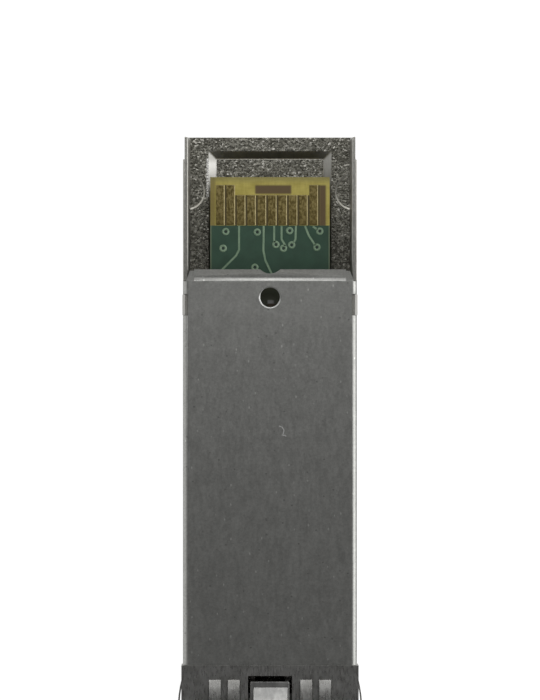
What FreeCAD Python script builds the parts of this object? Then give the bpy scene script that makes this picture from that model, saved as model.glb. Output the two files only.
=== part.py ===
import FreeCAD, Part
import math
import operator
import os
from types import SimpleNamespace

import Sketcher

# Small pluggable optical transceiver lying on its label side with the sheet-metal cover up.
# X runs across the module, Y along it towards the card edge, Z up. Y = 0 is the shoulder of the latch boss.
# All sizes are millimetres.

SIZES = {
    # outline of the module
    "body_width": 13.4,
    "body_height": 8.5,
    "rear_length": 45.0,
    "stop_offset": 2.5,
    "nose_length": 9.0,
    "nose_width": 12.3,
    "nose_rim": 0.15,
    "nose_chamfer": 0.5,
    "stop_step": 0.6,
    "stop_thickness": 1.4,
    # die casting
    "floor_thickness": 1.2,
    "wall_thickness": 0.52,
    "label_recess": 0.12,
    "label_inset": 5.2,
    "core_ease": 0.1,
    "shoulder_height": 3.25,
    "skirt_thickness": 0.4,
    "skirt_height": 7.4,
    "skirt_draft": 0.17,
    "skirt_round": 0.09,
    "skirt_corner": 0.22,
    "leadin_length": 1.75,
    "leadin_depth": 0.12,
    "bar_length": 1.05,
    "pocket_width": 9.5,
    "pocket_slope": 0.6,
    "pocket_depth": 0.35,
    "pocket_round": 0.35,
    "ejector_radius": 1.4,
    "ejector_inset": 0.28,
    "ejector_from_rear": 4.2,
    "ejector_depth": 0.025,
    "ejector_rim": 0.12,
    "ledge_width": 1.2,
    "ledge_length": 2.6,
    "catch_depth": 0.06,
    # folded cover
    "cover_thickness": 0.3,
    "cover_clearance": 0.03,
    "cover_depth": 6.6,
    "bend_radius": 0.42,
    "opening_length": 10.22,
    "lip_run": 0.92,
    "lip_bend": 0.57,
    "lip_width": 12.9,
    "lip_slant": 0.32,
    "lip_corner": 0.6,
    "notch_radius": 1.06,
    "notch_depth": 0.33,
    "hole_radius": 0.74,
    "hole_roll": 0.11,
    "hole_from_bend": 1.23,
    "window_length": 1.65,
    "window_height": 3.4,
    "window_from_bend": 0.98,
    "latch_window_width": 3.4,
    "latch_window_length": 3.5,
    # circuit board and its contacts
    "board_width": 9.2,
    "board_shoulder_width": 11.2,
    "board_thickness": 1.0,
    "board_drop": 2.25,
    "board_end": 41.9,
    "board_neck": 33.4,
    "board_front": 10.4,
    "board_bevel": 0.2,
    "pad_pitch": 0.8,
    "pad_width": 0.62,
    "pad_thickness": 0.035,
    "pad_rows": 10,
    "pad_shift": 0.25,
    "pad_back": 3.7,
    "pad_long_start": 0.62,
    "pad_short_start": 1.4,
    # optical ports and sub-assemblies
    "port_pitch": 6.25,
    "port_size": 4.7,
    "port_depth": 10.0,
    "port_wall": 2.0,
    "port_flare": 0.3,
    "key_width": 2.9,
    "key_height": 1.0,
    "key_window": 2.2,
    "roof_thickness": 0.43,
    "ferrule_radius": 0.627,
    "sleeve_radius": 0.8,
    "sleeve_length": 4.9,
    "barrel_radius": 1.45,
    "barrel_reach": 4.6,
    "barrel_clearance": 0.05,
    "barrel_mouth": 0.12,
    "flange_radius": 2.3,
    "flange_length": 0.8,
    "waist_radius": 1.8,
    "waist_length": 0.9,
    "holder_radius": 2.4,
    "holder_length": 2.4,
    "can_radius": 2.25,
    "can_length": 1.8,
    "header_radius": 2.6,
    "header_length": 1.0,
    "lead_radius": 0.2,
    "lead_length": 1.2,
    "lead_circle": 1.0,
    "flex_width": 3.4,
    "flex_thickness": 0.12,
    "flex_gap": 0.35,
    "flex_bend": 0.45,
    "flex_overlap": 2.2,
    "clamp_gap": 0.06,
    # chips
    "driver_inset": 8.0,
    "controller_inset": 13.0,
    "memory_inset": 18.4,
    "chip_clearance": 0.2,
    "passive_pitch": 1.0,
    "driver_size": 4.0,
    "amplifier_size": 3.0,
    "controller_size": 5.0,
    "memory_length": 4.4,
    "memory_width": 3.0,
    "chip_height": 0.85,
    "passive_length": 1.0,
    "passive_width": 0.5,
    "passive_height": 0.5,
    "inductor_length": 2.0,
    "inductor_width": 1.25,
    "inductor_height": 1.1,
    # spring-finger collar
    "collar_thickness": 0.12,
    "collar_length": 6.8,
    "collar_depth": 6.2,
    "finger_length": 4.6,
    "finger_width": 0.9,
    "finger_rise": 0.3,
    "finger_pitch": 1.45,
    # latch and bail
    "lever_width": 3.0,
    "lever_thickness": 0.8,
    "lever_recess": 0.15,
    "lever_tail": 0.65,
    "lever_play": 0.12,
    "boss_width": 2.6,
    "boss_length": 2.6,
    "boss_height": 0.45,
    "pin_radius": 0.4,
    "pin_play": 0.03,
    "pin_from_port": 3.7,
    "pin_grip": 1.5,
    "knuckle_radius": 0.85,
    "spring_room": 0.52,
    "spring_span": 2.6,
    "spring_width": 1.8,
    "spring_thickness": 0.1,
    "wire_radius": 0.45,
    "wire_bend": 0.75,
    "bail_eye": 0.7,
    "seat_play": 0.05,
    "pivot_from_front": 1.2,
    "cam_radius": 0.75,
    "cam_offset": 0.389,
    "cam_width": 2.4,
    "cam_play": 0.035,
    "bail_gap": 0.1,
    "bail_ground": 0.15,
    "bail_tilt": 14.2,
}

doc = FreeCAD.newDocument("sfp_transceiver")
sheet = doc.addObject("Spreadsheet::Sheet", "Sizes")
for row, (alias, number) in enumerate(SIZES.items(), start=1):
    sheet.set(f"A{row}", alias)
    sheet.set(f"B{row}", str(number))
    sheet.setAlias(f"B{row}", alias)
doc.recompute()

OPERATIONS = {"+": operator.add, "-": operator.sub, "*": operator.mul, "/": operator.truediv}


class Term:
    """A number that carries its formula over the sheet's cells beside its present value."""

    def __init__(self, text, value, bound):
        self.text = text
        self.value = value
        self.bound = bound

    def __add__(self, other):
        return combine(self, "+", other)

    def __radd__(self, other):
        return combine(other, "+", self)

    def __sub__(self, other):
        return combine(self, "-", other)

    def __rsub__(self, other):
        return combine(other, "-", self)

    def __mul__(self, other):
        return combine(self, "*", other)

    def __rmul__(self, other):
        return combine(other, "*", self)

    def __truediv__(self, other):
        return combine(self, "/", other)

    def __neg__(self):
        return combine(0, "-", self)


def term(number):
    """The number itself if it is a term, else a term with no cell behind it."""
    if isinstance(number, Term):
        return number
    return Term(f"({float(number)!r})", float(number), False)


def combine(left, sign, right):
    left = term(left)
    right = term(right)
    value = OPERATIONS[sign](left.value, right.value)
    return Term(f"({left.text} {sign} {right.text})", value, left.bound or right.bound)


def cosine(angle):
    return Term(f"cos({angle.text})", math.cos(math.radians(angle.value)), angle.bound)


def sine(angle):
    return Term(f"sin({angle.text})", math.sin(math.radians(angle.value)), angle.bound)


S = SimpleNamespace(**{alias: Term(f"Sizes.{alias}", float(sheet.get(alias)), True) for alias in SIZES})

# Planes and heights that several pieces share.
HALF = S.body_width / 2
REAR = S.rear_length
STOP = -S.stop_offset
FRONT = STOP - S.nose_length
LIP_EDGE = REAR - S.opening_length
FACE_END = LIP_EDGE - S.lip_run
COVER_FOOT = S.body_height - S.cover_depth
COVER_UNDER = S.body_height - S.cover_thickness
CORE_HALF = HALF - S.cover_thickness - S.cover_clearance
CAVITY_HALF = CORE_HALF - S.wall_thickness
SKIRT_INNER = HALF - S.skirt_thickness
BAY_FRONT = FACE_END + S.cover_clearance
BOARD_TOP = S.body_height - S.board_drop
BOARD_UNDER = BOARD_TOP - S.board_thickness
NOSE_HALF = S.nose_width / 2
PORT_AXIS = S.body_height / 2
PORT_HALF = S.port_size / 2
PORT_SIDE = S.port_pitch / 2
PORT_END = FRONT + S.port_depth
WALL_BACK = PORT_END + S.port_wall
LEVER_FLOOR = PORT_AXIS + PORT_HALF + S.roof_thickness
LEVER_UNDER = LEVER_FLOOR + S.spring_room
LEVER_TOP = LEVER_UNDER + S.lever_thickness
LEVER_SLOT = S.lever_width / 2 + S.lever_play
PIN_HEIGHT = (LEVER_TOP + LEVER_UNDER) / 2
PIN_Y = PORT_END - S.pin_from_port
CAM_SIDE = S.cam_offset * math.sqrt(0.5)
PIVOT_Y = FRONT + S.pivot_from_front
PIVOT_HEIGHT = LEVER_FLOOR + S.cam_play + CAM_SIDE + S.cam_radius
TAIL_UNDER = PIVOT_HEIGHT - CAM_SIDE + S.cam_radius + S.cam_play
TAIL_TOP = TAIL_UNDER + S.lever_tail
NOSE_TOP = TAIL_TOP + S.nose_rim
BARREL_BACK = WALL_BACK + S.flange_length + S.waist_length + S.holder_length
HEADER_BACK = BARREL_BACK + S.can_length + S.header_length
FLEX_Y = HEADER_BACK + S.flex_gap
CHIP_EDGE = CAVITY_HALF - S.ledge_width - S.chip_clearance

TURNS = {
    "X": FreeCAD.Rotation(FreeCAD.Vector(0, 1, 0), 90),
    "Y": FreeCAD.Rotation(FreeCAD.Vector(1, 0, 0), -90),
    "Z": FreeCAD.Rotation(),
}
SIDES = (-1, 1)
OVER = 1.0


def size(feature, name, value):
    """Set one size of a feature, through an expression where a cell stands behind it."""
    value = term(value)
    setattr(feature, name, value.value)
    if value.bound:
        feature.setExpression(name, value.text)


def place(feature, x, y, z, turn=FreeCAD.Rotation()):
    """Set a feature down at a point."""
    spot = [term(x), term(y), term(z)]
    feature.Placement = FreeCAD.Placement(FreeCAD.Vector(*[mark.value for mark in spot]), turn)
    for axis, mark in zip("xyz", spot):
        if mark.bound:
            feature.setExpression(f"Placement.Base.{axis}", mark.text)
    return feature


def box(name, x, y, z):
    """Block between a low and a high value along each axis."""
    block = doc.addObject("Part::Box", name)
    for edge, (low, high) in zip(("Length", "Width", "Height"), (x, y, z)):
        size(block, edge, term(high) - low)
    return place(block, x[0], y[0], z[0])


def spot_along(axis, centre, start):
    """Point whose two cross coordinates are given by centre and the one along the axis by start."""
    first, second = centre
    return {"X": (start, first, second), "Y": (first, start, second), "Z": (first, second, start)}[axis]


def rod(name, axis, radius, centre, span):
    """Cylinder along an axis between the two ends of span."""
    cylinder = doc.addObject("Part::Cylinder", name)
    size(cylinder, "Radius", radius)
    size(cylinder, "Height", term(span[1]) - span[0])
    return place(cylinder, *spot_along(axis, centre, span[0]), TURNS[axis])


def cone(name, radii, centre, span):
    """Upright cone with its lower and upper radius, between the two ends of span."""
    tapered = doc.addObject("Part::Cone", name)
    size(tapered, "Radius1", radii[0])
    size(tapered, "Radius2", radii[1])
    size(tapered, "Height", term(span[1]) - span[0])
    return place(tapered, *centre, span[0])


def frustum(name, low, high, y, z, turn=FreeCAD.Rotation()):
    """Block whose near face (low) and far face (high) differ; each is (x0, x1, z0, z1)."""
    wedge = doc.addObject("Part::Wedge", name)
    faces = (("Xmin", "Xmax", "Zmin", "Zmax"), low), (("X2min", "X2max", "Z2min", "Z2max"), high)
    size(wedge, "Ymin", y[0])
    size(wedge, "Ymax", y[1])
    for names, values in faces:
        for name_of_size, value in zip(names, values):
            size(wedge, name_of_size, value)
    return place(wedge, 0, 0, z, turn)


def fuse(name, *pieces):
    union = doc.addObject("Part::MultiFuse", name)
    union.Shapes = list(pieces)
    union.Refine = True
    return union


def cut(name, base, *tools):
    difference = doc.addObject("Part::Cut", name)
    difference.Base = base
    difference.Tool = tools[0] if len(tools) == 1 else fuse(name + "_tools", *tools)
    difference.Refine = True
    return difference


def overlap(name, *pieces):
    shared = doc.addObject("Part::MultiCommon", name)
    shared.Shapes = list(pieces)
    return shared


def group(name, pieces):
    """Several separate solids that make one named piece."""
    bundle = doc.addObject("Part::Compound", name)
    bundle.Links = list(pieces)
    return bundle


def lies(edge, **places):
    """True if an edge lies whole at the given coordinates, such as x=3.2, z=0."""
    bounds = edge.BoundBox
    for axis, value in places.items():
        value = term(value).value
        low = getattr(bounds, axis.upper() + "Min")
        high = getattr(bounds, axis.upper() + "Max")
        if abs(low - value) > 1e-4 or abs(high - value) > 1e-4:
            return False
    return True


def rounded(name, base, radius, choose):
    """Part fillet on the edges that choose picks."""
    doc.recompute()
    fillet = doc.addObject("Part::Fillet", name)
    fillet.Base = base
    picked = [index for index, edge in enumerate(base.Shape.Edges, start=1) if choose(edge)]
    fillet.Edges = [(index, radius.value, radius.value) for index in picked]
    return fillet


def chamfered(name, base, length, choose):
    """Part chamfer on the edges that choose picks."""
    doc.recompute()
    chamfer = doc.addObject("Part::Chamfer", name)
    chamfer.Base = base
    picked = [index for index, edge in enumerate(base.Shape.Edges, start=1) if choose(edge)]
    chamfer.Edges = [(index, length.value, length.value) for index in picked]
    return chamfer


def new_body(name):
    return doc.addObject("PartDesign::Body", name)


def origin_part(body, role):
    return next(feature for feature in body.Origin.OriginFeatures if feature.Role == role)


def new_sketch(body, name, plane, offset=0):
    """Sketch on one of the body's own planes, moved along its normal by offset."""
    sketch = body.newObject("Sketcher::SketchObject", name)
    sketch.AttachmentSupport = [(origin_part(body, plane + "_Plane"), "")]
    sketch.MapMode = "FlatFace"
    offset = term(offset)
    sketch.AttachmentOffset = FreeCAD.Placement(FreeCAD.Vector(0, 0, offset.value), FreeCAD.Rotation())
    if offset.bound:
        sketch.setExpression("AttachmentOffset.Base.z", offset.text)
    return sketch


def constrain(sketch, kind, where, value):
    value = term(value)
    index = sketch.addConstraint(Sketcher.Constraint(kind, *where, value.value))
    if value.bound:
        sketch.renameConstraint(index, f"size_{index}")
        sketch.setExpression(f"Constraints.size_{index}", value.text)


def arc_between(start, end, radius, left):
    """Arc from start to end with its centre left or right of the way, and whether it is turned."""
    middle = (start + end) * 0.5
    way = end - start
    reach = math.sqrt(max(radius * radius - way.Length * way.Length / 4, 0))
    normal = FreeCAD.Vector(-way.y, way.x, 0)
    normal.normalize()
    centre = middle + normal * (reach if left else -reach)
    first, last = (start, end) if left else (end, start)
    angles = [math.atan2(point.y - centre.y, point.x - centre.x) for point in (first, last)]
    circle = Part.Circle(centre, FreeCAD.Vector(0, 0, 1), radius)
    return Part.ArcOfCircle(circle, *angles), not left


def draw_outline(sketch, points, arcs=None):
    """Closed outline through points. arcs maps a segment's index to (radius, centre on the left)."""
    arcs = arcs or {}
    corners = [FreeCAD.Vector(term(u).value, term(v).value, 0) for u, v in points]
    count = len(points)
    ends = []
    first = sketch.GeometryCount
    for index in range(count):
        start = corners[index]
        end = corners[(index + 1) % count]
        if index in arcs:
            radius, left = arcs[index]
            shape, turned = arc_between(start, end, term(radius).value, left)
            ends.append((2, 1) if turned else (1, 2))
        else:
            shape = Part.LineSegment(start, end)
            ends.append((1, 2))
        sketch.addGeometry(shape, False)
    for index in range(count):
        after = (index + 1) % count
        sketch.addConstraint(
            Sketcher.Constraint("Coincident", first + index, ends[index][1], first + after, ends[after][0])
        )
    for index, (u, v) in enumerate(points):
        constrain(sketch, "DistanceX", (first + index, ends[index][0]), u)
        constrain(sketch, "DistanceY", (first + index, ends[index][0]), v)
    for index, (radius, _) in arcs.items():
        constrain(sketch, "Radius", (first + index,), radius)


def draw_circle(sketch, u, v, radius):
    centre = FreeCAD.Vector(term(u).value, term(v).value, 0)
    index = sketch.addGeometry(Part.Circle(centre, FreeCAD.Vector(0, 0, 1), term(radius).value), False)
    constrain(sketch, "DistanceX", (index, 3), u)
    constrain(sketch, "DistanceY", (index, 3), v)
    constrain(sketch, "Radius", (index,), radius)


def grow(body, kind, name, sketch, length, symmetric=False):
    """Pad or pocket of a sketch."""
    feature = body.newObject(f"PartDesign::{kind}", name)
    feature.Profile = sketch
    if symmetric:
        feature.SideType = "Symmetric"
    size(feature, "Length", length)
    return feature


def round_edges(body, name, radius, choose):
    """PartDesign fillet on the edges of the body's tip that choose picks."""
    doc.recompute()
    base = body.Tip
    picked = [f"Edge{index}" for index, edge in enumerate(base.Shape.Edges, start=1) if choose(edge)]
    fillet = body.newObject("PartDesign::Fillet", name)
    fillet.Base = (base, picked)
    size(fillet, "Radius", radius)
    return fillet


def bevel_edges(body, name, length, choose):
    """PartDesign chamfer on the edges of the body's tip that choose picks."""
    doc.recompute()
    base = body.Tip
    picked = [f"Edge{index}" for index, edge in enumerate(base.Shape.Edges, start=1) if choose(edge)]
    chamfer = body.newObject("PartDesign::Chamfer", name)
    chamfer.Base = (base, picked)
    size(chamfer, "Size", length)
    return chamfer


def ring_of(count, radius):
    """Points spread evenly on a circle."""
    turns = [360.0 * index / count + 45.0 for index in range(count)]
    return [(radius * math.cos(math.radians(turn)), radius * math.sin(math.radians(turn))) for turn in turns]


def housing():
    """Die casting: connector bay, channel under the cover and the nose with the two ports."""
    bay = box("bay", (-HALF, HALF), (BAY_FRONT, REAR), (0, S.shoulder_height))
    marks = [
        cone(
            f"ejector_mark_{index}",
            (S.ejector_radius - S.ejector_rim, S.ejector_radius + S.ejector_rim),
            (side * (HALF - S.ejector_inset), REAR - S.ejector_from_rear),
            (S.shoulder_height - S.ejector_depth, S.shoulder_height + S.ejector_depth),
        )
        for index, side in enumerate(SIDES)
    ]
    up = FreeCAD.Rotation(FreeCAD.Vector(1, 0, 0), 90)
    pocket_front = LIP_EDGE - 2 * S.lip_run
    pocket_rear = REAR - S.bar_length
    mouth = S.pocket_width / 2
    foot = mouth - S.pocket_slope
    pocket_block = frustum(
        "pocket_block",
        (-foot, foot, S.pocket_slope - pocket_rear, -pocket_front),
        (-mouth, mouth, -pocket_rear, -pocket_front),
        (S.shoulder_height - S.pocket_depth, S.shoulder_height),
        0,
        up,
    )
    pocket = rounded(
        "pocket",
        pocket_block,
        S.pocket_round,
        lambda edge: edge.BoundBox.ZMin < S.shoulder_height.value - 1e-3
        and edge.BoundBox.YMax > pocket_front.value + 1e-3,
    )
    shoulder = cut("shoulder", bay, *marks, pocket)

    skirts = []
    for index, side in enumerate(SIDES):
        foot_ends = sorted(((SKIRT_INNER - S.skirt_draft) * side, HALF * side), key=lambda mark: mark.value)
        top_ends = sorted((SKIRT_INNER * side, HALF * side), key=lambda mark: mark.value)
        wall = frustum(
            f"skirt_wall_{index}",
            (*foot_ends, -REAR, -BAY_FRONT),
            (*top_ends, -REAR, -BAY_FRONT),
            (S.shoulder_height - S.pocket_depth, S.skirt_height),
            0,
            up,
        )
        corner = rounded(
            f"skirt_corner_{index}",
            wall,
            S.skirt_corner,
            lambda edge: lies(edge, y=REAR) and edge.BoundBox.ZLength > 1 and not lies(edge, x=HALF * side),
        )
        skirts.append(
            rounded(f"skirt_{index}", corner, S.skirt_round, lambda edge: lies(edge, z=S.skirt_height))
        )
    bulkheads = [
        box(
            f"bulkhead_{index}",
            (CAVITY_HALF * side - (HALF - CAVITY_HALF) * (1 - side) / 2, CAVITY_HALF * side
             + (HALF - CAVITY_HALF) * (1 + side) / 2),
            (BAY_FRONT, BAY_FRONT + S.wall_thickness),
            (0, S.skirt_height - S.wall_thickness),
        )
        for index, side in enumerate(SIDES)
    ]

    plate = box("plate", (-HALF, HALF), (STOP, BAY_FRONT), (0, COVER_FOOT))
    core = chamfered(
        "core",
        box("core_block", (-CORE_HALF, CORE_HALF), (STOP, FACE_END - S.cover_thickness), (0, COVER_UNDER)),
        S.core_ease,
        lambda edge: lies(edge, z=COVER_UNDER) and edge.BoundBox.YLength > 1,
    )
    nose = chamfered(
        "nose",
        box("nose_block", (-NOSE_HALF, NOSE_HALF), (FRONT, STOP), (0, NOSE_TOP)),
        S.nose_chamfer,
        lambda edge: lies(edge, y=FRONT) and edge.BoundBox.ZLength > 1,
    )
    stop_half = HALF + S.stop_step
    stop = chamfered(
        "stop",
        box("stop_block", (-stop_half, stop_half), (STOP - S.stop_thickness, STOP), (0, NOSE_TOP)),
        S.nose_chamfer,
        lambda edge: lies(edge, y=STOP - S.stop_thickness) and edge.BoundBox.XLength < 1,
    )

    catches = []
    catch_y = FACE_END - S.window_from_bend
    catch_top = COVER_UNDER
    catch_span = (S.cover_clearance - catch_y, S.window_length - catch_y - S.cover_clearance)
    catch_foot = S.body_height - S.window_height + S.cover_thickness / 2
    for index, side in enumerate(SIDES):
        inner = (CORE_HALF - S.cover_clearance) * side
        outer_low = (HALF + S.catch_depth) * side
        outer_high = (HALF - S.cover_thickness / 2) * side
        low, high = sorted((inner, outer_low), key=lambda mark: mark.value)
        low_top, high_top = sorted((inner, outer_high), key=lambda mark: mark.value)
        catches.append(
            frustum(
                f"catch_{index}",
                (low, high, *catch_span),
                (low_top, high_top, *catch_span),
                (catch_foot, catch_top),
                0,
                up,
            )
        )

    ledges = []
    for row, start in enumerate((S.board_front + 2 * S.ledge_length, S.board_neck - 2 * S.ledge_length)):
        for index, side in enumerate(SIDES):
            ends = sorted(
                (CAVITY_HALF * side, (CAVITY_HALF - S.ledge_width) * side), key=lambda mark: mark.value
            )
            ledges.append(
                box(f"ledge_{row}_{index}", ends, (start, start + S.ledge_length), (0, BOARD_UNDER))
            )

    cavity = box(
        "cavity",
        (-CAVITY_HALF, CAVITY_HALF),
        (WALL_BACK, LIP_EDGE - S.cover_thickness),
        (S.floor_thickness, S.body_height + OVER),
    )
    tools = [cavity]
    for index, side in enumerate(SIDES):
        axis = PORT_SIDE * side
        flare = PORT_HALF + S.port_flare
        square = (axis - PORT_HALF, axis + PORT_HALF)
        level = (PORT_AXIS - PORT_HALF, PORT_AXIS + PORT_HALF)
        tools.append(box(f"port_{index}", square, (FRONT - OVER, PORT_END), level))
        tools.append(
            frustum(
                f"port_flare_{index}",
                (axis - flare, axis + flare, PORT_AXIS - flare, PORT_AXIS + flare),
                (*square, *level),
                (FRONT, FRONT + S.port_flare),
                0,
            )
        )
        key_low = PORT_AXIS - PORT_HALF - S.key_height
        key = (axis - S.key_width / 2, axis + S.key_width / 2)
        key_end = PORT_END - S.port_depth / 3
        tools.append(box(f"key_slot_{index}", key, (FRONT - OVER, key_end), (key_low, PORT_AXIS)))
        tools.append(
            box(
                f"key_window_{index}",
                key,
                (FRONT + S.port_depth / 4, FRONT + S.port_depth / 4 + S.key_window),
                (-OVER, PORT_AXIS),
            )
        )
        tools.append(
            rod(
                f"barrel_hole_{index}",
                "Y",
                S.barrel_radius + S.barrel_clearance,
                (axis, PORT_AXIS),
                (PORT_END - OVER, WALL_BACK + OVER),
            )
        )
    slot = (-LEVER_SLOT, LEVER_SLOT)
    slot_step = PORT_END + S.lever_play
    tools.append(box("lever_slot", slot, (FRONT - OVER, slot_step), (LEVER_FLOOR, NOSE_TOP + OVER)))
    boss_floor = PORT_AXIS + PORT_HALF - S.boss_height
    tools.append(box("boss_slot", slot, (slot_step, WALL_BACK + OVER), (boss_floor, NOSE_TOP + OVER)))
    tools.append(
        rod(
            "pin_hole",
            "X",
            S.pin_radius + 0.01,
            (PIN_Y, PIN_HEIGHT),
            (-LEVER_SLOT - S.pin_grip, LEVER_SLOT + S.pin_grip),
        )
    )
    seat = S.wire_radius + S.seat_play
    tools.append(rod("seat_round", "X", seat, (PIVOT_Y, PIVOT_HEIGHT), (-NOSE_HALF - OVER, NOSE_HALF + OVER)))
    tools.append(
        box(
            "seat_mouth",
            (-NOSE_HALF - OVER, NOSE_HALF + OVER),
            (PIVOT_Y - seat, PIVOT_Y + seat),
            (PIVOT_HEIGHT, NOSE_TOP + OVER),
        )
    )
    rim = HALF - S.floor_thickness
    tools.append(
        box("label_bed", (-rim, rim), (S.label_inset, REAR - S.label_inset), (-OVER, S.label_recess))
    )
    hollow = cut("hollow", fuse("outer", plate, core, nose, stop, *catches), *tools)
    lead = []
    for index, side in enumerate(SIDES):
        ends = sorted(((HALF - S.leadin_depth) * side, (HALF + OVER) * side), key=lambda mark: mark.value)
        span = (REAR - S.leadin_length, REAR + OVER)
        lead.append(box(f"leadin_{index}", ends, span, (-OVER, S.body_height)))
    bed = box(
        "label_bed_rear",
        (-rim, rim),
        (S.label_inset, REAR - S.label_inset),
        (-OVER, S.label_recess),
    )
    bay_open = box(
        "bay_cavity",
        (-CAVITY_HALF, CAVITY_HALF),
        (BAY_FRONT - OVER, LIP_EDGE - S.cover_thickness),
        (S.floor_thickness, S.body_height),
    )
    rear = cut("rear", fuse("rear_outer", shoulder, *skirts, *bulkheads), bay_open, bed, *lead)
    return fuse("housing", hollow, rear, *ledges)


def bottom_cover():
    """Folded cover: channel, 45 degree lip with its notch, rolled hole, side windows and latch window."""
    body = new_body("bottom_cover")
    channel = new_sketch(body, "cover_channel", "XZ", -FACE_END)
    inner = HALF - S.cover_thickness
    draw_outline(
        channel,
        [
            (-HALF, COVER_FOOT),
            (-inner, COVER_FOOT),
            (-inner, COVER_UNDER),
            (inner, COVER_UNDER),
            (inner, COVER_FOOT),
            (HALF, COVER_FOOT),
            (HALF, S.body_height),
            (-HALF, S.body_height),
        ],
    )
    grow(body, "Pad", "cover_folded", channel, FACE_END - STOP)
    round_edges(
        body,
        "cover_bend_outer",
        S.bend_radius,
        lambda edge: lies(edge, x=HALF, z=S.body_height) or lies(edge, x=-HALF, z=S.body_height),
    )
    round_edges(
        body,
        "cover_bend_inner",
        S.bend_radius - S.cover_thickness,
        lambda edge: lies(edge, x=inner, z=COVER_UNDER) or lies(edge, x=-inner, z=COVER_UNDER),
    )

    lip = new_sketch(body, "lip_profile", "YZ")
    slope = math.sqrt(0.5)
    bend_in = S.lip_bend - S.cover_thickness
    bend_y = FACE_END + S.lip_bend * slope
    bend_z = S.body_height - S.lip_bend + S.lip_bend * slope
    fall = LIP_EDGE - bend_y
    thick = S.cover_thickness * slope
    draw_outline(
        lip,
        [
            (FACE_END, S.body_height),
            (bend_y, bend_z),
            (LIP_EDGE, bend_z - fall),
            (LIP_EDGE - thick, bend_z - fall - thick),
            (FACE_END + bend_in * slope, S.body_height - S.lip_bend + bend_in * slope),
            (FACE_END, COVER_UNDER),
        ],
        {0: (S.lip_bend, False), 4: (bend_in, True)},
    )
    grow(body, "Pad", "lip", lip, S.lip_width, symmetric=True)

    ends = new_sketch(body, "lip_ends", "XY", S.body_height)
    root = S.lip_width / 2
    tip = root - S.lip_slant
    far = LIP_EDGE + OVER
    for side in SIDES:
        draw_outline(
            ends,
            [
                (side * root, FACE_END + S.cover_clearance),
                (side * tip, LIP_EDGE),
                (side * tip, far),
                (side * (HALF + OVER), far),
                (side * (HALF + OVER), FACE_END + S.cover_clearance),
            ],
        )
    grow(body, "Pocket", "lip_ends_cut", ends, S.body_height, symmetric=True)

    coin_start = FACE_END + S.cover_clearance
    for index, side in enumerate(SIDES):
        coin = new_sketch(body, f"lip_corner_{index}", "YZ", side * (root - S.lip_corner + OVER))
        draw_outline(
            coin,
            [
                (coin_start, S.body_height),
                (far, S.body_height - far + coin_start),
                (far, S.body_height + OVER),
                (coin_start, S.body_height + OVER),
            ],
        )
        grow(body, "Pocket", f"lip_corner_cut_{index}", coin, term(2 * OVER), symmetric=True)

    notch = new_sketch(body, "lip_notch", "XY", S.body_height)
    draw_circle(notch, 0, LIP_EDGE - S.notch_depth + S.notch_radius, S.notch_radius)
    grow(body, "Pocket", "lip_notch_cut", notch, S.body_height, symmetric=True)

    hole = new_sketch(body, "hole_circle", "XY", S.body_height)
    draw_circle(hole, 0, FACE_END - S.hole_from_bend, S.hole_radius)
    grow(body, "Pocket", "hole_cut", hole, S.cover_thickness * 4, symmetric=True)
    bevel_edges(
        body,
        "hole_rolled",
        S.hole_roll,
        lambda edge: lies(edge, z=S.body_height) and edge.Curve.TypeId == "Part::GeomCircle",
    )

    windows = new_sketch(body, "side_windows", "XY", S.body_height)
    window_y = FACE_END - S.window_from_bend
    window_x = HALF - S.bend_radius + S.cover_clearance
    for side in SIDES:
        draw_outline(
            windows,
            [
                (side * window_x, window_y - S.window_length),
                (side * (HALF + OVER), window_y - S.window_length),
                (side * (HALF + OVER), window_y),
                (side * window_x, window_y),
            ],
        )
    grow(body, "Pocket", "side_windows_cut", windows, S.window_height)

    latch = new_sketch(body, "latch_window", "XY", S.body_height)
    width = S.latch_window_width / 2
    draw_outline(
        latch,
        [
            (-width, STOP - OVER),
            (width, STOP - OVER),
            (width, S.latch_window_length),
            (-width, S.latch_window_length),
        ],
    )
    grow(body, "Pocket", "latch_window_cut", latch, S.cover_thickness * 4, symmetric=True)
    return body


def circuit_board():
    """Board with the narrow card edge, eased at its inner corners and bevelled at its end."""
    body = new_body("circuit_board")
    outline = new_sketch(body, "board_outline", "XY", BOARD_UNDER)
    card = S.board_width / 2
    wide = S.board_shoulder_width / 2
    draw_outline(
        outline,
        [
            (-wide, S.board_front),
            (wide, S.board_front),
            (wide, S.board_neck),
            (card, S.board_neck),
            (card, S.board_end),
            (-card, S.board_end),
            (-card, S.board_neck),
            (-wide, S.board_neck),
        ],
    )
    grow(body, "Pad", "board_blank", outline, S.board_thickness)
    bevel_edges(
        body,
        "card_bevel",
        S.board_bevel,
        lambda edge: lies(edge, y=S.board_end) and edge.BoundBox.XLength > 1,
    )
    return body


def contact_pads(name, face, shift, long_pads):
    """Row of gold contacts on one face of the card edge; those that mate first are longer."""
    pads = []
    count = int(S.pad_rows.value)
    for index in range(count):
        centre = S.pad_pitch * (index - (count - 1) / 2) + shift
        start = S.pad_long_start if index in long_pads else S.pad_short_start
        pads.append(
            box(
                f"{name}_{index}",
                (centre - S.pad_width / 2, centre + S.pad_width / 2),
                (S.board_end - S.pad_back, S.board_end - start),
                (face, face + S.pad_thickness),
            )
        )
    return group(name, pads)


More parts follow.
